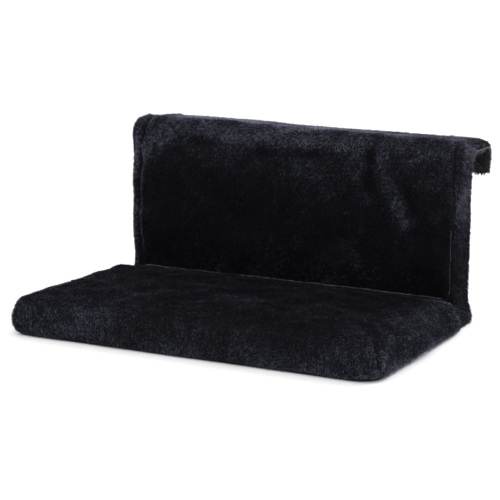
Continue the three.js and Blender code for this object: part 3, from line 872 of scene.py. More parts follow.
def seat_skin():
    """The seat's closed skin. Its plan is a rectangle with rounded corners, and each ring is that
    plan moved in along the line to the nearest point of a spine down its middle. The rings climb
    from the underside, round a tight lower edge, up a gently bulging side, round the top edge and
    in over the top, whose height falls from the front to the crease and is crowned between the
    edges."""
    pads, plush = bpy.context.scene.bed_pads, bpy.context.scene.bed_plush
    rise = plush.rise
    half, front, rear = SEAT_HALF - rise * 0.4, SEAT_LOW[1] + rise * 0.5, CREASE_Y - 0.0006
    outline = evenly(filleted(
        [(-half, front), (half, front), (half, rear), (-half, rear)],
        [pads.left_corner, pads.corner, 0.004, 0.004], 10), 560)
    beside = ease(outline[:, 1:], rear - 0.030, rear - 0.002)
    edge = pads.seat_edge - (pads.seat_edge - CREASE_EDGE) * beside
    middle, reach = (front + rear) / 2, (rear - front) / 2
    spine = np.stack([np.clip(outline[:, 0], -(half - reach), half - reach),
                      np.full(len(outline), middle)], 1)
    inward = spine - outline
    depth = np.linalg.norm(inward, axis=1, keepdims=True)
    inward /= depth
    out = 0.002 + (pads.bulge - 0.002) * inward[:, :1] ** 2
    out = out * ease(CREASE_Y - outline[:, 1:], 0.0, 0.02)

    def ring(inset, share, lift):
        """The plan moved in, at `share` of the way from the floor to the top, and `lift` above
        that."""
        plan = outline + inward * inset
        top = seat_height(plan[:, 0], plan[:, 1]) - rise
        return np.column_stack([plan, share * top + lift])

    rings = [ring(np.maximum(depth * share, LOW_EDGE), 0, 0) for share in (1.0, 0.6, 0.3, 0.1)]
    rings += [ring(LOW_EDGE * (1 - math.sin(angle)), 0, LOW_EDGE * (1 - math.cos(angle)))
              for angle in np.linspace(0, np.pi / 2, 4)]
    rings += [ring(-out * math.sin(share * math.pi), share,
                   LOW_EDGE * (1 - share) - edge[:, 0] * share) for share in (0.25, 0.5, 0.75)]
    rings += [ring(edge * (1 - math.cos(angle)), 1, -edge[:, 0] * (1 - math.sin(angle)))
              for angle in np.linspace(0, np.pi / 2, 9)]
    rings += [ring(np.maximum(depth * share, edge), 1, 0)
              for share in (0.16, 0.25, 0.4, 0.55, 0.7, 0.85, 1.0)]
    skin = new_piece("seat_skin", np.concatenate(rings), grid_faces(len(rings), len(outline), True))
    faces_out(skin, 1e-5)
    return skin


def rear_taper(places):
    """How much narrower each side of the seat is: nothing at the board's height, and more above it
    close to the crease."""
    above = ease(places[:, 2], BOARD_TOP + 0.001, BOARD_TOP + 0.012)
    return 0.012 * ease(places[:, 1], CREASE_Y - 0.030, CREASE_Y) * above


def seat_height(x, y):
    """Height of the seat's top: it falls towards the crease, is crowned across, and sags a
    little."""
    pads = bpy.context.scene.bed_pads
    back = (y - SEAT_LOW[1]) / (CREASE_Y - SEAT_LOW[1])
    across = x / SEAT_HALF
    fall = SEAT_HIGH[2] + 0.0008 - pads.seat_slope * back
    crown = 0.0035 * (1 - across**2) * np.sin(np.pi * np.clip(back, 0, 1))
    left, right = bump(across + 1.0, 0.10), bump(across - 0.95, 0.12)
    return fall + crown - 0.0040 * left * (1 - back) - 0.0020 * right * back


def dart_line(places):
    """Distance from the sewn darts of the front corners, and far away where they don't act."""
    left, right = (np.abs(along) + 0.02 * (1 - full) for _, along, full in dart_places(places))
    return np.minimum(left, right)


def seat_seams(places):
    """Distance from the darts and from the crease that the seat's top makes with the back."""
    y, z = places[:, 1], places[:, 2]
    crease = np.abs(CREASE_Y - 0.0015 - y) + 0.02 * (1 - ease(z, 0.020, 0.028)) + 0.001
    return np.minimum(dart_line(places), crease)


def corner_darts(places, depth):
    """How far each point of the seat moves outwards at the sewn front corners: in along the dart,
    and out into a pucker on each side of it. Returns movements."""
    move = np.zeros_like(places)
    for out, along, full in dart_places(places):
        pull = 0.5 * bump(np.abs(along) - 0.0085, 0.0055) - 1.3 * bump(along, 0.0030)
        move[:, :2] += out * (depth * pull * full)[:, None]
    return move


def dart_places(places):
    """For each front corner: the way out from its centre, the distance across the dart, and how
    fully the dart acts at each height and distance from the centre."""
    pads = bpy.context.scene.bed_pads
    found = []
    for side in (-1, 1):
        corner = pads.corner if side > 0 else pads.left_corner
        centre = np.array([side * (SEAT_HALF - corner), SEAT_LOW[1] + corner])
        away = places[:, :2] - centre
        far = np.linalg.norm(away, axis=1)
        heading = np.arctan2(away[:, 1], away[:, 0] * side)
        along = (heading + DART_HEADING) * np.maximum(far, 0.012)
        height = ease(places[:, 2], 0.006, 0.017)
        near = ease(far, 0.006, 0.016) * (1 - ease(far, 0.055, 0.075))
        found.append((away / np.maximum(far, 1e-6)[:, None], along, height * near))
    return found


def seat_painted_light():
    """The seat's painted light and shade: painted light along its left, its front's foot and its
    right end, brightest along the foot of the right end, painted light and shade beside the right
    front dart, and painted light on the faces that turn to the front and to the sides."""
    right, front = SEAT_HALF, SEAT_LOW[1]
    # Hills of painted light and shade, then painted light on faces turned to the front, right and
    # left.
    return mottle_and_painted_light(31, 0.024, [
        ((0.0, front, 0.045), (0.60, 0.130, 0.060), 0.056),
        ((-right, front + 0.09, 0.045), (0.085, 0.16, 0.04), 0.075),
        ((-0.16, front, 0.020), (0.110, 0.03, 0.030), 0.30),
        ((0.0, front, 0.003), (0.60, 0.02, 0.012), 0.28),
        ((-0.13, front, 0.012), (0.030, 0.02, 0.012), 0.18),
        ((-0.02, front, 0.010), (0.030, 0.02, 0.010), 0.12),
        ((0.130, front, 0.032), (0.050, 0.03, 0.018), -0.08),
        ((0.195, front + 0.03, 0.040), (0.035, 0.07, 0.03), 0.07),
        ((right, front + 0.015, 0.025), (0.030, 0.03, 0.03), 0.10),
        ((right - 0.008, front + 0.16, 0.040), (0.018, 0.09, 0.012), 0.38),
        # Painted light along the foot of the right end and its front, and painted light and shade
        # beside the right front dart.
        ((right, front + 0.12, 0.003), (0.02, 0.12, 0.0060), 3.40),
        ((right, front + 0.03, 0.003), (0.03, 0.03, 0.0055), 1.20),
        ((right + 0.0035, front + 0.019, 0.018), (0.008, 0.008, 0.012), 0.55),
        ((right - 0.003, front + 0.005, 0.020), (0.003, 0.004, 0.009), 0.60),
        ((right - 0.009, front + 0.009, 0.047), (0.008, 0.007, 0.004), -0.40),
    ], [((0, -1, 0), 0.13), ((1, 0, 0), 0.42), ((-1, 0, 0), 0.26)], 0.75)


def make_seat():
    """The seat's cover: swollen as cloth, drawn in at its darts, open below, with pile."""
    scene = bpy.context.scene
    pads, plush = scene.bed_pads, scene.bed_plush
    skin = seat_skin()
    remeshed(skin)
    places = coordinates(skin)
    places += vertex_normals(skin) * (0.0009 * waves(places, 0.11, 0.03, 24, 11)
                                      * ease(places[:, 2], 0.004, 0.02))[:, None]
    places[:, 0] *= 1 - rear_taper(places) / SEAT_HALF
    set_coordinates(skin, places)
    held = (places[:, 2] < 0.004) | (places[:, 1] > CREASE_Y - 0.004)
    share = 0.1 + 0.9 * ease(CREASE_Y - places[:, 1:2], 0.004, 0.06)
    stuffed(skin, held, pads.seat_give * share, 0.012, pads.pressure)
    divided(skin)
    places = coordinates(skin)
    places += corner_darts(places, pads.seam_depth)
    places[:, 2] = np.maximum(places[:, 2], 0.0001)
    set_coordinates(skin, places)
    middle, normal = face_centres(skin)
    under = (normal[:, 2] < -0.85) & (middle[:, 2] < 0.0015)
    seat = part_of(skin, "seat_cover", ~under)
    discard(skin)

    def shown(place, facing):
        buried = (place[:, 1] > CREASE_Y - 0.003) & (place[:, 2] < 0.030)
        return (facing[:, 2] > -0.6) & ~(buried & (np.abs(place[:, 0]) < BACK_HALF))

    pile("seat_pile", seat, plush_material(), plush.length, 101,
         brushed((0.15, -1.0, -0.35), 21, 0.06, 0.32), seat_painted_light(), shown, seam=seat_seams)
    thickened(seat, pads.backing)
    cover(seat, backing_material())
    kept(seat)
    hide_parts("seat_plush_cover")


# ---- Back and hook -------------------------------------------------------------------------------


def back_section():
    """The section of the back and the hook, clockwise seen from the right: up the front, over the
    top, down behind the hook, round its tip and up its inside, and down the rear face to the foot.
    Also how far each point may be drawn in at the two ends, which is less where the section is
    thin."""
    rise = bpy.context.scene.bed_plush.rise
    top = BACK_HIGH[2] + 0.0050
    front, outside, inside = CREASE_Y + rise, BACK_HIGH[1] - rise, LEG_Y + 0.0015
    rear, tip, under = REAR_Y - 0.0015, TIP_Z + rise * 0.6, HOOK_Z + 0.0015
    corner = [(front, 0.0, 0.003), (front, top - rise, 0.021), (REAR_Y, SHOULDER_Z - rise, 0.030),
              (outside, HOOK_TOP_Z - rise, 0.016), (outside, tip, 0.0045), (inside, tip, 0.003),
              (inside, under, 0.010), (rear, under, 0.010), (rear, 0.0, 0.002)]
    line = evenly(filleted([(y, z) for y, z, _ in corner], [r for _, _, r in corner], 8), 620)
    thin = ease(line[:, 0], REAR_Y - 0.012, REAR_Y + 0.004) * ease(line[:, 1], TIP_Z - 0.02, TIP_Z)
    thin = np.maximum(thin, ease(line[:, 0], REAR_Y - 0.004, REAR_Y - 0.002))
    thin = np.maximum(thin, 1 - ease(line[:, 1], 0.002, 0.035))
    return line, 0.010 + (0.0030 - 0.010) * thin


def back_skin():
    """The back's closed skin: its section carried from end to end, and drawn in along its own
    normal at both ends by a quarter circle."""
    line, reach = back_section()
    inward = -left_normals(line)
    if (inward * (line.mean(0) - line)).sum() < 0:
        inward = -inward
    half = BACK_HALF + 0.0012
    turn = np.linspace(0, np.pi / 2, 6)

    def end(side):
        """The sections of one end, from the whole one to the one drawn in furthest."""
        return [np.column_stack([side * (half - reach * (1 - np.sin(a))),
                                 line + inward * (reach * (1 - np.cos(a)))[:, None]]) for a in turn]

    between = np.linspace(-half, half, 90)[2:-2]
    middle = [np.column_stack([np.full(len(line), x), line]) for x in between]
    sections = end(-1)[::-1] + middle + end(1)
    grid = np.stack(sections)
    grid[..., 2] *= 1 - END_TILT * grid[..., 0]
    droop = ease(-grid[..., 0], 0.188, 0.222) * ease(grid[..., 2], 0.16, 0.22)
    grid[..., 2] += 0.0022 * ease(-grid[..., 0], 0.02, 0.09) * ease(grid[..., 2], 0.15, 0.22)
    grid[..., 2] -= 0.0012 * droop * (1 - ease(grid[..., 1], REAR_Y - 0.01, REAR_Y + 0.02))
    skin = new_piece("back_skin", grid.reshape(-1, 3), capped(len(sections), len(line)))
    faces_out(skin, 1e-6)
    return skin


def left_seam_line(z):
    """X of the seam near the back's left end: straight, and curving inwards near the top."""
    return LEFT_SEAM + 0.0065 * ease(z, 0.175, 0.222)


def back_seams(places):
    """Distance from the back's sewn lines, near its left end and at its right front corner."""
    x, y, z = places.T
    far = np.minimum(np.abs(x - left_seam_line(z)), np.abs(x - RIGHT_SEAM) + 0.0008)
    return far + 0.02 * ease(y, CREASE_Y + 0.03, CREASE_Y + 0.05)


def drape(places, normals):
    """How far the back's cloth stands out: three soft folds that hang from the top right and fade
    downwards, a faint one near the middle, a slack hollow below the top edge, and small
    unevenness."""
    x, z = places[:, 0], places[:, 2]
    hang = ease(z, 0.09, 0.13) * (1 - ease(z, 0.198, 0.216))
    folds = 0.0
    for centre, slope, width, height in (
            (0.095, 0.05, 0.009, 0.0030), (0.124, 0.30, 0.009, 0.0042),
            (0.172, 0.10, 0.012, 0.0026), (-0.013, 0.0, 0.004, 0.0010)):
        folds = folds + height * bump(x - centre - slope * (0.2 - z), width)
    slack = -0.0012 * bump(z - 0.192, 0.014) + 0.0010 * waves(places, 0.10, 0.03, 24, 51)
    face = ease(-normals[:, 1], 0.2, 0.8)
    return (folds * hang + slack) * face + 0.0006 * waves(places, 0.09, 0.03, 24, 52) * (1 - face)


def seam_grooves(places, normals):
    """How deep the back's sewn seams are drawn in: along the front near both ends, following the
    end round the top."""
    pads = bpy.context.scene.bed_pads
    x, z = places[:, 0], places[:, 2]
    outer = ease(-normals[:, 1], 0.1, 0.5) + ease(normals[:, 2], 0.2, 0.6)
    left = left_seam_line(z)
    left_groove = bump(x - left, 0.0026) - 0.35 * bump(x - left + 0.006, 0.003)
    right_groove = bump(x - RIGHT_SEAM, 0.0022) * 0.5
    return -pads.seam_depth * (left_groove + right_groove) * np.clip(outer, 0, 1)


def back_painted_light():
    """The back's painted light and shade: pale patches of painted sheen on the front, a band of
    painted highlight under the top edge that runs down at the left, painted light on the faces that
    turn up and to the rear, painted light inside the hook's right leg, and streaks of painted light
    and painted shade beside its folds and along its left seam."""
    top, front = BACK_HIGH[2], CREASE_Y
    # Hills of painted sheen and shade, with painted light inside the hook's right leg, then painted
    # light on the faces that turn up and to the rear.
    return mottle_and_painted_light(41, 0.036, [
        ((-0.040, front, 0.045), (0.150, 0.05, 0.030), 0.085),
        ((0.080, front, 0.058), (0.070, 0.05, 0.022), 0.070),
        ((0.075, front, top - 0.045), (0.040, 0.05, 0.032), 0.085),
        ((0.140, front, top - 0.006), (0.110, 0.05, 0.010), 0.45),
        ((0.160, front, top - 0.036), (0.050, 0.05, 0.022), 0.18),
        ((0.020, front, top - 0.050), (0.070, 0.05, 0.030), 0.030),
        ((0.205, front, 0.070), (0.006, 0.05, 0.045), -0.03),
        ((-0.216, front, 0.120), (0.009, 0.05, 0.110), 0.40),
        ((-0.213, front, 0.214), (0.012, 0.05, 0.020), 0.60),
        ((0.190, front, 0.060), (0.030, 0.05, 0.050), -0.020),
        ((BACK_HALF, LEG_Y, TIP_Z + 0.018), (0.008, 0.006, 0.022), 0.90),
    ], [((0, 0, 1), 0.42), ((0, 1, 0), 0.12)], 1.0, [
        # Streaks of painted highlight under the top edge and along the left seam, and of painted
        # light and shade beside the folds.
        ([(-0.200, 0.188), (-0.188, 0.203), (-0.165, 0.214), (-0.145, 0.220)], 0.013, 1.40),
        ([(-0.120, 0.219), (-0.080, 0.212), (-0.050, 0.209), (-0.010, 0.214), (0.030, 0.216)],
         0.009, 1.15),
        ([(0.030, 0.214), (0.060, 0.209), (0.088, 0.212)], 0.009, 0.50),
        ([(-0.203, 0.045), (-0.201, 0.170), (-0.194, 0.190)], 0.0022, 0.22),
        ([(-0.013, 0.160), (-0.013, 0.136)], 0.0022, 0.10),
        ([(0.092, 0.216), (0.094, 0.180)], 0.011, 0.28),
        ([(0.109, 0.228), (0.110, 0.200)], 0.0055, -0.50),
        ([(0.110, 0.200), (0.112, 0.165)], 0.0065, -0.22),
        ([(0.125, 0.216), (0.127, 0.185), (0.138, 0.165), (0.151, 0.142), (0.158, 0.124)],
         0.0075, 0.34),
        ([(0.152, 0.216), (0.156, 0.175), (0.166, 0.150)], 0.006, -0.09),
        ([(0.205, 0.203), (0.178, 0.209)], 0.007, 0.22),
    ])


def side_painted_light():
    """The side panels' painted highlights, along their edges."""
    top, front = BACK_HIGH[2], CREASE_Y
    # Hills of painted highlight along the panels' edges.
    return mottle_and_painted_light(43, 0.078, [
        ((BACK_HALF, front, 0.010), (0.03, 0.05, 0.022), 0.26),
        ((BACK_HALF, LEG_Y + 0.004, TIP_Z + 0.018), (0.03, 0.010, 0.020), 0.55),
        ((BACK_HALF, front + 0.012, 0.142), (0.03, 0.030, 0.024), 0.75),
        ((BACK_HALF, REAR_Y + 0.04, top - 0.016), (0.03, 0.05, 0.014), 0.60),
        ((-BACK_HALF, front, 0.10), (0.03, 0.02, 0.10), 0.28),
    ])


def make_back():
    """The back's and hook's cover, side panels and inner plush: one swollen skin, cut at its
    seams."""
    scene = bpy.context.scene
    pads, plush = scene.bed_pads, scene.bed_plush
    skin = back_skin()
    remeshed(skin)
    places, normals = coordinates(skin), vertex_normals(skin)
    places += normals * drape(places, normals)[:, None] * held_off(places)[:, None]
    foot, left = 1 - ease(places[:, 2], 0.0, 0.035), places[:, 0] < 0
    places[:, 0] *= 1 + 0.030 * foot + 0.0065 * left
    set_coordinates(skin, places)
    places = coordinates(skin)
    held = held_off(places) < 0.5
    crease = ease(CREASE_Y + 0.020 - places[:, 1:2], 0.0, 0.010)
    crease = crease * (1 - ease(places[:, 2:], 0.036, 0.080))
    stuffed(skin, held, pads.back_give * (1 - 0.95 * crease), 0.010, pads.pressure)
    divided(skin)
    places, normals = coordinates(skin), vertex_normals(skin)
    places += normals * seam_grooves(places, normals)[:, None]
    places[:, 2] = np.maximum(places[:, 2], 0.0001)
    set_coordinates(skin, places)
    middle, normal = face_centres(skin)
    x, y, z = middle.T
    foot = (normal[:, 2] < -0.8) & (z < 0.003)
    rear = (normal[:, 1] > 0.7) & (y > REAR_Y - 0.006) & (y < REAR_Y + 0.006) & (z < TIP_Z)
    gap = (y > REAR_Y - 0.006) & (y < LEG_Y + 0.0055) & (z > TIP_Z) & (z < HOOK_Z + 0.0055)
    inner = gap & (np.abs(x) < BACK_HALF + 0.0005) & ~rear
    inner &= ((normal[:, 1] > 0.3) & (y < REAR_Y + 0.012) | (normal[:, 2] < -0.3)
              | (normal[:, 1] < -0.3) & (y > LEG_Y - 0.012))
    side = ~inner & (np.abs(x) > BACK_HALF - 0.0065) & (np.abs(normal[:, 0]) > 0.35)
    spare = foot | (rear & ~side)
    panel = part_of(skin, "back_cover", ~(spare | inner | side))
    left = part_of(skin, "side_cover_left", side & (x < 0) & ~foot)
    right = part_of(skin, "side_cover_right", side & (x > 0) & ~foot)
    lined = part_of(skin, "hook_inner_cover", inner & ~spare)
    discard(skin)

    down = brushed((0.1, 0.0, -1.0), 61, 0.07, 0.35)

    def shown(place, facing):
        return ~((place[:, 2] < 0.026) & (place[:, 1] < CREASE_Y + 0.02) & (facing[:, 1] < -0.3)
                 & (np.abs(place[:, 0]) < BACK_HALF - 0.004))

    pile("back_pile", panel, plush_material(), plush.length, 201, down, back_painted_light(), shown,
         seam=back_seams)
    pile("side_pile_left", left, plush_material(), plush.length, 301, down, side_painted_light())
    pile("side_pile_right", right, plush_material(), plush.length, 401, down, side_painted_light())
    inner = pile_material("inner_pile", shaded(plush.inner, 0.08), shaded(plush.inner, 0.35),
                          plush.inner)
    pile("hook_inner_pile", lined, inner, plush.inner_length, 501,
         brushed((0.0, 0.1, -1.0), 71, 0.2), mottle_and_painted_light(81, 1.00, mottle=0.6), thin=0.9)
    for piece, node, slot in (
            (panel, "back_plush_panel", "plush"), (left, "side_panel_left", "plush"),
            (right, "side_panel_right", "plush"), (lined, "hook_inner_plush", "inner_plush")):
        thickened(piece, pads.backing)
        cover(piece, backing_material())
        kept(piece)
        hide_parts(node)


def held_off(places):
    """One where the back's cloth is free to move, and zero at the foot, the rear face and the
    hook."""
    y, z = places[:, 1], places[:, 2]
    foot = ease(z, 0.004, 0.020)
    rear = 1 - ease(y, REAR_Y - 0.020, REAR_Y - 0.006)
    return foot * rear


# ---- Filling, linings, zip and stitching ---------------------------------------------------------


def rounded_block(name, low, high, corner, edge, lean=0.0):
    """A closed foam block: a rectangle with rounded corners as plan, and rings of it that run from
    the middle of the underside, round the lower edge, up the side, round the top edge and in to the
    middle of the top. The top falls by `lean` towards +Y."""
    plan = [(low[0], low[1]), (high[0], low[1]), (high[0], high[1]), (low[0], high[1])]
    outline = evenly(filleted(plan, [corner] * 4), 160)
    middle = (low[:2] + high[:2]) / 2
    reach = (high[:2] - low[:2]) / 2
    turn = np.linspace(0, np.pi / 2, 6)
    deep = 1 - edge / reach
    shares = [(share * deep, 0, 0.0) for share in (0.0, 0.5, 0.9)]
    shares += [(1 - edge * (1 - math.sin(a)) / reach, 0, edge * (1 - math.cos(a))) for a in turn]
    shares += [(1 - edge * (1 - math.cos(a)) / reach, 1, -edge * (1 - math.sin(a))) for a in turn]
    shares += [(share * deep, 1, 0.0) for share in (0.9, 0.5, 0.0)]
    rings = []
    for share, top, lift in shares:
        plan = middle + (outline - middle) * share
        height = high[2] - lean * (plan[:, 1] - low[1]) / (high[1] - low[1])
        rings.append(np.column_stack([plan, np.where(top, height, low[2]) + lift]))
    piece = new_piece(name, np.concatenate(rings), grid_faces(len(rings), len(outline), True))
    faces_out(piece, 1e-5)
    return piece


def make_filling():
    """The foam inside the seat and the back."""
    pads = bpy.context.scene.bed_pads
    foam = patterned("open_cell_foam", grain_group(), "Scale", 900.0, (0.50, 0.48, 0.42),
                     (0.74, 0.72, 0.66), 0.95, 0.0012, specular=0.1)
    low, high = corners("seat_foam")
    seat = rounded_block("seat_filling", low + [0.006, 0.006, 0], high - [0.006, 0.002, 0.005],
                         0.030, 0.010, pads.seat_slope)
    low, high = corners("back_foam")
    back = rounded_block("back_filling", low + [0.006, 0.006, 0], high - [0.006, 0.0, 0.008],
                         0.010, 0.008)
    for piece, node, fill in ((seat, "seat_foam", 0.8), (back, "back_foam", 0.6)):
        cover(piece, foam)
        kept(piece)
        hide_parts(node)


def panel_relief(across, along, size, depth):
    """How far a sewn lining stands off between its edges: a shallow hill, with small puckers that
    run in from the stitched edges and die away."""
    edge = np.minimum(np.minimum(across, 1 - across) * size[0],
                      np.minimum(along, 1 - along) * size[1])
    inside = ease(edge, 0.0, min(size) * 0.25)
    spot = np.stack([across * size[0], along * size[1], np.zeros_like(across)], 1)
    pucker = np.sin(spot[:, :2] / PUCKER_PITCH * 2 * np.pi).sum(1)
    return (depth * (0.35 + 0.65 * inside) + depth * 0.22 * waves(spot, 0.09, 0.03, 20, 5) * inside
            + 0.00018 * pucker * bump(edge, 0.006) * ease(edge, 0.0, 0.0015))


def rear_sheet(node, depth):
    """A thin sheet over the rear side of a packed lining, which stands off it by `depth`."""
    low, high = corners(node)
    wide, _, tall = high - low
    rows, columns = max(6, int(wide / LINING_MESH)), max(6, int(tall / LINING_MESH))
    a, b = np.meshgrid(np.linspace(0, 1, rows), np.linspace(0, 1, columns), indexing="ij")
    a, b = a.ravel(), b.ravel()
    places = np.stack([low[0] + a * wide, high[1] + panel_relief(a, b, (wide, tall), depth),
                       low[2] + b * tall], 1)
    sewn_sheet(node, places, grid_faces(rows, columns), (0, 1, 0))


def sewn_sheet(node, places, faces, out):
    piece = new_piece(f"{node}_cloth", places, faces)
    if face_centres(piece)[1].mean(0) @ out < 0:
        piece.data.flip_normals()
    thickened(piece, LINING * 0.6)
    cover(piece, lining_material())
    kept(piece)
    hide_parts(node)


def lining_material():
    """Plain-woven black lining."""
    colour = bpy.context.scene.bed_trim.lining
    return patterned("woven_lining", weave_group(), "Pitch", 0.0009, shaded(colour, 0.55),
                     shaded(colour, 1.6), 0.62, 0.00025, specular=0.3, turn=UPRIGHT)


def base_half_width(y):
    """Half the underside's width: rounded at the front corners, and narrower behind the crease."""
    radius = bpy.context.scene.bed_pads.corner
    reach = np.clip(radius - (y - BASE_LOW[1]), 0, radius)
    rounded = BASE_HIGH[0] - radius + np.sqrt(np.maximum(radius**2 - reach**2, 0))
    return np.where(y < CREASE_Y, rounded, REAR_HIGH[0])


def make_linings():
    """The woven cloth on the rear face and the underside."""
    for node, depth in (("rear_lining_upper", 0.0012), ("rear_lining_lower", 0.0007),
                        ("zip_end_patch_left", 0.0004), ("zip_end_patch_right", 0.0004)):
        rear_sheet(node, depth)
    rear = np.linspace(CREASE_Y + 0.0008, BASE_HIGH[1], 18)
    front = np.linspace(0, 1, 84) ** 1.25
    y = np.concatenate([BASE_LOW[1] + 0.0003 + front * (CREASE_Y - BASE_LOW[1] - 0.0003), rear])
    half = base_half_width(y)
    t = np.linspace(-1, 1, 150)
    x = half[:, None] * t
    spot = np.stack([x, np.broadcast_to(y[:, None], x.shape), np.zeros_like(x)], -1).reshape(-1, 3)
    edge = np.minimum((half[:, None] * (1 - np.abs(t))).ravel(), spot[:, 1] - BASE_LOW[1])
    hills = (0.5 + 0.3 * waves(spot, 0.12, 0.03, 24, 91)).clip(0, 1) * ease(edge, 0, 0.03)
    pucker = np.sin((spot[:, 0] + spot[:, 1]) / PUCKER_PITCH * 2 * np.pi) * bump(edge, 0.006)
    spot[:, 2] = 0.0002 + 0.0006 * hills + 0.00012 * pucker
    sewn_sheet("base_lining", spot, grid_faces(len(y), len(t)), (0, 0, -1))


def stitches(name, paths, up):
    """Rows of stitches: short rounded beads of thread laid along each path with small gaps. `up` is
    what the cloth faces."""
    trim = bpy.context.scene.bed_trim
    pitch = trim.stitch_length + trim.stitch_gap
    centres, along = [], []
    for path in paths:
        path = np.asarray(path, float)
        step = np.linalg.norm(np.diff(path, axis=0), axis=1)
        run = np.concatenate([[0], np.cumsum(step)])
        at = np.arange(pitch / 2, run[-1], pitch)
        where = [np.stack([np.interp(at + d, run, path[:, k]) for k in range(3)], 1)
                 for d in (-0.0003, 0, 0.0003)]
        centres.append(where[1])
        along.append(where[2] - where[0])
    centres, along = np.concatenate(centres), np.concatenate(along)
    along /= np.linalg.norm(along, axis=1, keepdims=True)
    up = np.broadcast_to(np.array(up, float), centres.shape)
    side = np.cross(up, along)
    shape, faces = bead_shape(trim.stitch_length, trim.thread_radius)
    piece = repeated(name, shape, faces, centres, along, side, np.cross(along, side))
    cover(piece, thread_material())
    kept(piece)


def thread_material():
    """Sewing thread: fine twisted lines under a soft sheen."""
    colour = bpy.context.scene.bed_trim.thread
    return patterned("sewing_thread", grain_group(), "Scale", 2500.0, shaded(colour, 0.6),
                     shaded(colour, 1.5), 0.5, 0.0001, specular=0.4)


def make_zip():
    """The zip's teeth, its stitching, and the finish of its tape, stops, slider and pull tab."""
    trim = bpy.context.scene.bed_trim
    nylon = patterned("moulded_nylon", grain_group(), "Scale", 1200.0, (0.008, 0.008, 0.0095),
                      (0.020, 0.020, 0.023), 0.34, 0.00004, specular=0.5)
    tape = patterned("zip_tape_weave", weave_group(), "Pitch", 0.0007, (0.008, 0.008, 0.0095),
                     (0.026, 0.026, 0.030), 0.75, 0.0002, specular=0.2, turn=UPRIGHT)
    low, high = corners("zip_coil_lower")
    gap = COIL_LOW[2] - high[2]
    shape, faces = bead_shape(high[2] - low[2] + gap * 0.82, 0.00062, 7, 5)
    for half, side, middle in (("lower", -1, (low[2] + high[2]) / 2),
                               ("upper", 1, (COIL_LOW[2] + COIL_HIGH[2]) / 2)):
        x = np.arange(low[0] + 0.001, high[0] - 0.001, trim.tooth_pitch)
        x = x + (trim.tooth_pitch / 2 if side > 0 else 0)
        centre = np.column_stack([x, np.full_like(x, high[1] - 0.00075),
                                  np.full_like(x, middle - side * gap * 0.40)])
        teeth = repeated(f"zip_teeth_{half}", shape, faces, centre, np.array([0.10, 0, 0.995]),
                         np.array([0.995, 0, -0.10]), np.array([0, 1.0, 0]))
        cover(teeth, nylon)
        kept(teeth)
        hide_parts(f"zip_coil_{half}")
    y = high[1] - 0.0002
    rows = [[(low[0], y, z), (high[0], y, z)] for z in (low[2] + 0.0006, COIL_HIGH[2] - 0.0006)]
    stitches("zip_coil_stitching", rows, (0, 1, 0))
    for node in ("zip_tape_lower", "zip_tape_upper"):
        finish_node(node, tape)
    zinc = patterned("satin_zinc", grain_group(), "Scale", 500.0, (0.030, 0.030, 0.033),
                     (0.085, 0.085, 0.092), 0.36, 0.00003, metallic=1.0)
    for node in ("zip_slider", "zip_pull_tab", "zip_stop_closed", "zip_stop_open"):
        finish_node(node, zinc)


def crease_height(x):
    """Height of the seat's top beside the back: the parabola along X that fits the cover's vertices
    there best."""
    seat = bpy.data.objects["seat_cover"]
    places, facing = coordinates(seat), vertex_normals(seat)
    across, y, z = places.T
    near = (np.abs(y - (CREASE_Y - 0.0055)) < 0.0020) & (facing[:, 2] > 0.5) & (z > 0.02)
    near &= np.abs(across) < BACK_HALF - 0.012
    return np.polyval(np.polyfit(across[near], z[near], 2), x)


def crease_path():
    """The seam where the seat meets the back, and its radius along it: a line over the seat's top
    that wanders a little and starts thick at the left. Its pale bead is a painted highlight of the
    pile along the seam."""
    x = np.linspace(-BACK_HALF + 0.0205, BACK_HALF - 0.013, 420)
    start = 0.0003 * bump(x + 0.188, 0.018)
    y = CREASE_Y - 0.0020 + 0.0005 * line_waves(x, 0.05, 0.010, 16, 3)
    z = crease_height(x) + 0.0030 + start + 0.00015 * line_waves(x, 0.06, 0.02, 16, 4)
    radius = 0.00038 + start + 0.00014 * line_waves(x, 0.009, 0.004, 20, 6)
    return np.column_stack([x, y, z]), radius


def side_seam_path():
    """The thread that shows up the back's right front corner, and its radius along it."""
    z = np.linspace(0.042, 0.118, 160)
    x = RIGHT_SEAM + 0.0003 * line_waves(z, 0.03, 0.01, 12, 13)
    y = CREASE_Y + 0.0003 + 0.0009 * line_waves(z, 0.02, 0.005, 12, 14)
    return np.column_stack([x, y, z]), 0.00022 + 0.00007 * line_waves(z, 0.008, 0.004, 12, 15)


def hook_hem_path(side):
    """The hem of one end of the hook: up the rear face, along under the hook and down its leg, with
    rounded turns."""
    turns = [(REAR_Y, TIP_Z - 0.030), (REAR_Y, HOOK_Z), (LEG_Y, HOOK_Z), (LEG_Y, TIP_Z - 0.02)]
    line = filleted(turns, [0.001, 0.011, 0.011, 0.001], 12)
    line = evenly(line[line[:, 1] > TIP_Z + 0.001], 140, closed=False)
    path = np.column_stack([np.full(len(line), side * (BACK_HALF + 0.0026)), line])
    path[:, 2] *= 1 - END_TILT * path[:, 0]
    return path, 0.0008


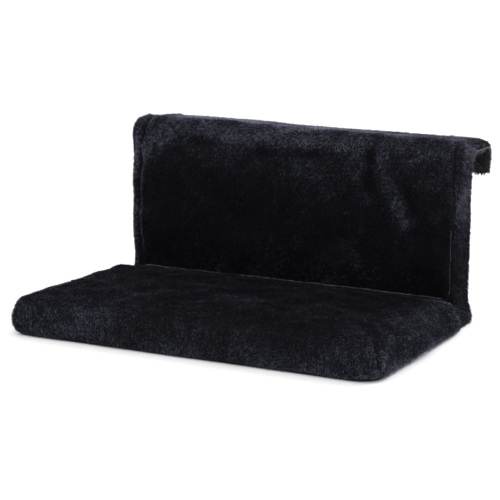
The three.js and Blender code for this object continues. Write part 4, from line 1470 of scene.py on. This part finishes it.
def make_seams():
    """A pale bead of painted highlight along the crease where the seat meets the back, the pale
    backing that shows round the hook's inner edge, and the stitching of the linings."""
    colour = bpy.context.scene.bed_trim.seam
    pale = patterned("seam_backing", grain_group(), "Scale", 1500.0, shaded(colour, 0.5),
                     shaded(colour, 1.2), 0.9, 0.0002, specular=0.1)
    for name, (path, radius), finish, sides in (
            # The crease bead is a painted highlight of the pile along the seam.
            ("crease_seam_highlight", crease_path(), pale, 10),
            ("side_seam_right", side_seam_path(), thread_material(), 8),
            ("hook_hem_left", hook_hem_path(-1), pale, 10),
            ("hook_hem_right", hook_hem_path(1), pale, 10)):
        seam = tube(name, path, radius, sides)
        cover(seam, finish)
        kept(seam)

    inset, y = 0.003, REAR_Y + 0.0008
    left, right = REAR_LOW[0] + inset, REAR_HIGH[0] - inset
    low, high, foot = REAR_LOW[2] + inset, REAR_HIGH[2] - inset, FOOT_HIGH[2] - inset
    upper = [(left, y, low), (right, y, low), (right, y, high), (left, y, high), (left, y, low)]
    lower = [(FOOT_LOW[0] + inset, y, foot), (FOOT_HIGH[0] - inset, y, foot)]
    stitches("rear_lining_stitching", [upper, lower], (0, 1, 0))
    front = np.linspace(BASE_LOW[1] + 0.004, CREASE_Y, 80)
    height = np.full_like(front, 0.0002)
    half = base_half_width(front) - 0.0035
    right, left = (np.column_stack([side * half, front, height]) for side in (1, -1))
    stitches("base_lining_stitching", [right, left, [left[0], right[0]]], (0, 0, -1))


def make_frame_finishes():
    """Powder coat on the steel, zinc on the screws and hardboard under the seat."""
    coat = patterned("powder_coat", grain_group(), "Scale", 1500.0, (0.022, 0.023, 0.026),
                     (0.048, 0.050, 0.055), 0.45, 0.00008)
    zinc = patterned("plated_screw", grain_group(), "Scale", 700.0, (0.48, 0.49, 0.52),
                     (0.70, 0.71, 0.73), 0.30, 0.00002, metallic=1.0)
    board = patterned("hardboard", grain_group(), "Scale", 900.0, (0.20, 0.11, 0.055),
                      (0.36, 0.22, 0.12), 0.70, 0.0001)
    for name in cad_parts:
        if "_bar" in name or "bracket" in name:
            finish_node(name, coat)
        elif "screw" in name:
            finish_node(name, zinc)
    finish_node("seat_board", board)


# ---- Stage ---------------------------------------------------------------------------------------


def set_up(name, data, axes, spot):
    """Puts a camera or a lamp at a spot, with its own X, Y and Z along three axes."""
    matrix = np.eye(4)
    matrix[:3, :3], matrix[:3, 3] = np.column_stack(axes), spot
    thing = link(name, data)
    thing.matrix_world = Matrix(matrix.tolist())
    return thing


def make_camera():
    """The camera: it looks along its azimuth and elevation past the bed's foot, which it sees a
    little left of the middle and low in the frame."""
    scene, stage = bpy.context.scene, bpy.context.scene.bed_stage
    a, e = stage.azimuth, stage.elevation
    back = np.array([math.sin(a) * math.cos(e), -math.cos(a) * math.cos(e), math.sin(e)])
    right = np.array([math.cos(a), math.sin(a), 0.0])
    up = np.cross(back, right)
    lens = bpy.data.cameras.new("camera")
    lens.lens, lens.sensor_width = stage.lens, 36.0
    foot = np.array([0.0, AIM_Y, 0.0])
    spot = foot + back * stage.distance + right * AIM_RIGHT + up * AIM_UP
    scene.camera = set_up("camera", lens, (right, up, back), spot)


def make_lamp(name, spot, aim, size, power):
    """A square lamp at a spot that shines at another."""
    lamp = bpy.data.lights.new(name, "AREA")
    lamp.size, lamp.energy = size, power
    away = np.array(spot) - np.array(aim)
    away /= np.linalg.norm(away)
    beside = np.cross([0, 0, 1], away)
    beside /= np.linalg.norm(beside)
    set_up(name, lamp, (beside, np.cross(away, beside), away), spot)


def make_stage():
    """Camera, lamps, white surroundings and a pale floor."""
    scene, stage = bpy.context.scene, bpy.context.scene.bed_stage
    make_camera()
    scene.view_settings.view_transform = "Standard"

    span = np.linspace(-6, 6, 41)
    x, y = np.meshgrid(span, span, indexing="ij")
    ground = new_piece("floor", np.stack([x, y, np.zeros_like(x)], -1).reshape(-1, 3),
                       grid_faces(41, 41)[:, ::-1])
    cover(ground, patterned("floor_finish", grain_group(), "Scale", 60.0,
                            shaded(stage.floor, 0.985), tuple(stage.floor), 0.8, 0.0001))

    world = bpy.data.worlds.new("surroundings")
    world.use_nodes = True
    sky = world.node_tree.nodes["Background"]
    sky.inputs["Color"].default_value = (1, 1, 1, 1)
    sky.inputs["Strength"].default_value = stage.sky
    scene.world = world
    make_lamp("key", (-1.1, -1.7, 1.9), (0, 0, 0.08), 1.4, 24.0)
    make_lamp("rim", (0.9, 1.2, 1.5), (0, 0, 0.1), 1.2, 24.0)
    make_lamp("fill", (1.8, -1.4, 0.8), (0, 0, 0.08), 1.2, 8.0)


# ---- Operators -----------------------------------------------------------------------------------


class BED_OT_stage(bpy.types.Operator):
    """Set up the camera, lamps and floor"""

    bl_idname = "bed.stage"
    bl_label = "Stage"

    def execute(self, context):
        make_stage()
        return {"FINISHED"}


class BED_OT_seat(bpy.types.Operator):
    """Make the seat's plush cover"""

    bl_idname = "bed.seat"
    bl_label = "Seat Cover"

    def execute(self, context):
        make_seat()
        return {"FINISHED"}


class BED_OT_back(bpy.types.Operator):
    """Make the plush of the back and the hook"""

    bl_idname = "bed.back"
    bl_label = "Back and Hook Cover"

    def execute(self, context):
        make_back()
        return {"FINISHED"}


class BED_OT_filling(bpy.types.Operator):
    """Make the foam inside the seat and the back"""

    bl_idname = "bed.filling"
    bl_label = "Filling"

    def execute(self, context):
        make_filling()
        return {"FINISHED"}


class BED_OT_linings(bpy.types.Operator):
    """Make the woven linings of the rear face and the underside"""

    bl_idname = "bed.linings"
    bl_label = "Linings"

    def execute(self, context):
        make_linings()
        return {"FINISHED"}


class BED_OT_zip(bpy.types.Operator):
    """Make the zip's teeth and stitching"""

    bl_idname = "bed.zip"
    bl_label = "Zip"

    def execute(self, context):
        make_zip()
        return {"FINISHED"}


class BED_OT_seams(bpy.types.Operator):
    """Make the seams and the lining's stitching"""

    bl_idname = "bed.seams"
    bl_label = "Seams"

    def execute(self, context):
        make_seams()
        return {"FINISHED"}


class BED_OT_frame_finishes(bpy.types.Operator):
    """Finish the steel frame, its screws and the board"""

    bl_idname = "bed.frame_finishes"
    bl_label = "Frame Finishes"

    def execute(self, context):
        make_frame_finishes()
        return {"FINISHED"}


class BED_PT_panel(bpy.types.Panel):
    """Lists the pieces of the bed"""

    bl_idname = "BED_PT_panel"
    bl_label = "Cat Bed"
    bl_space_type = "VIEW_3D"
    bl_region_type = "UI"
    bl_category = "Cat Bed"

    def draw(self, context):
        for operator in OPERATORS:
            self.layout.operator(operator.bl_idname)


OPERATORS = (BED_OT_stage, BED_OT_seat, BED_OT_back, BED_OT_filling, BED_OT_linings, BED_OT_zip,
             BED_OT_seams, BED_OT_frame_finishes)
SETTINGS = {"bed_plush": PlushSettings, "bed_pads": PadSettings, "bed_trim": TrimSettings,
            "bed_stage": StageSettings}
CLASSES = (*SETTINGS.values(), *OPERATORS, BED_PT_panel)


def register():
    for item in CLASSES:
        bpy.utils.register_class(item)
    for name, group in SETTINGS.items():
        setattr(bpy.types.Scene, name, bpy.props.PointerProperty(type=group))


def unregister():
    for name in SETTINGS:
        delattr(bpy.types.Scene, name)
    for item in reversed(CLASSES):
        bpy.utils.unregister_class(item)


def main():
    """Registers the add-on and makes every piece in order."""
    register()
    for operator in OPERATORS:
        space, name = operator.bl_idname.split(".")
        getattr(getattr(bpy.ops, space), name)()


if __name__ == "__main__":
    main()
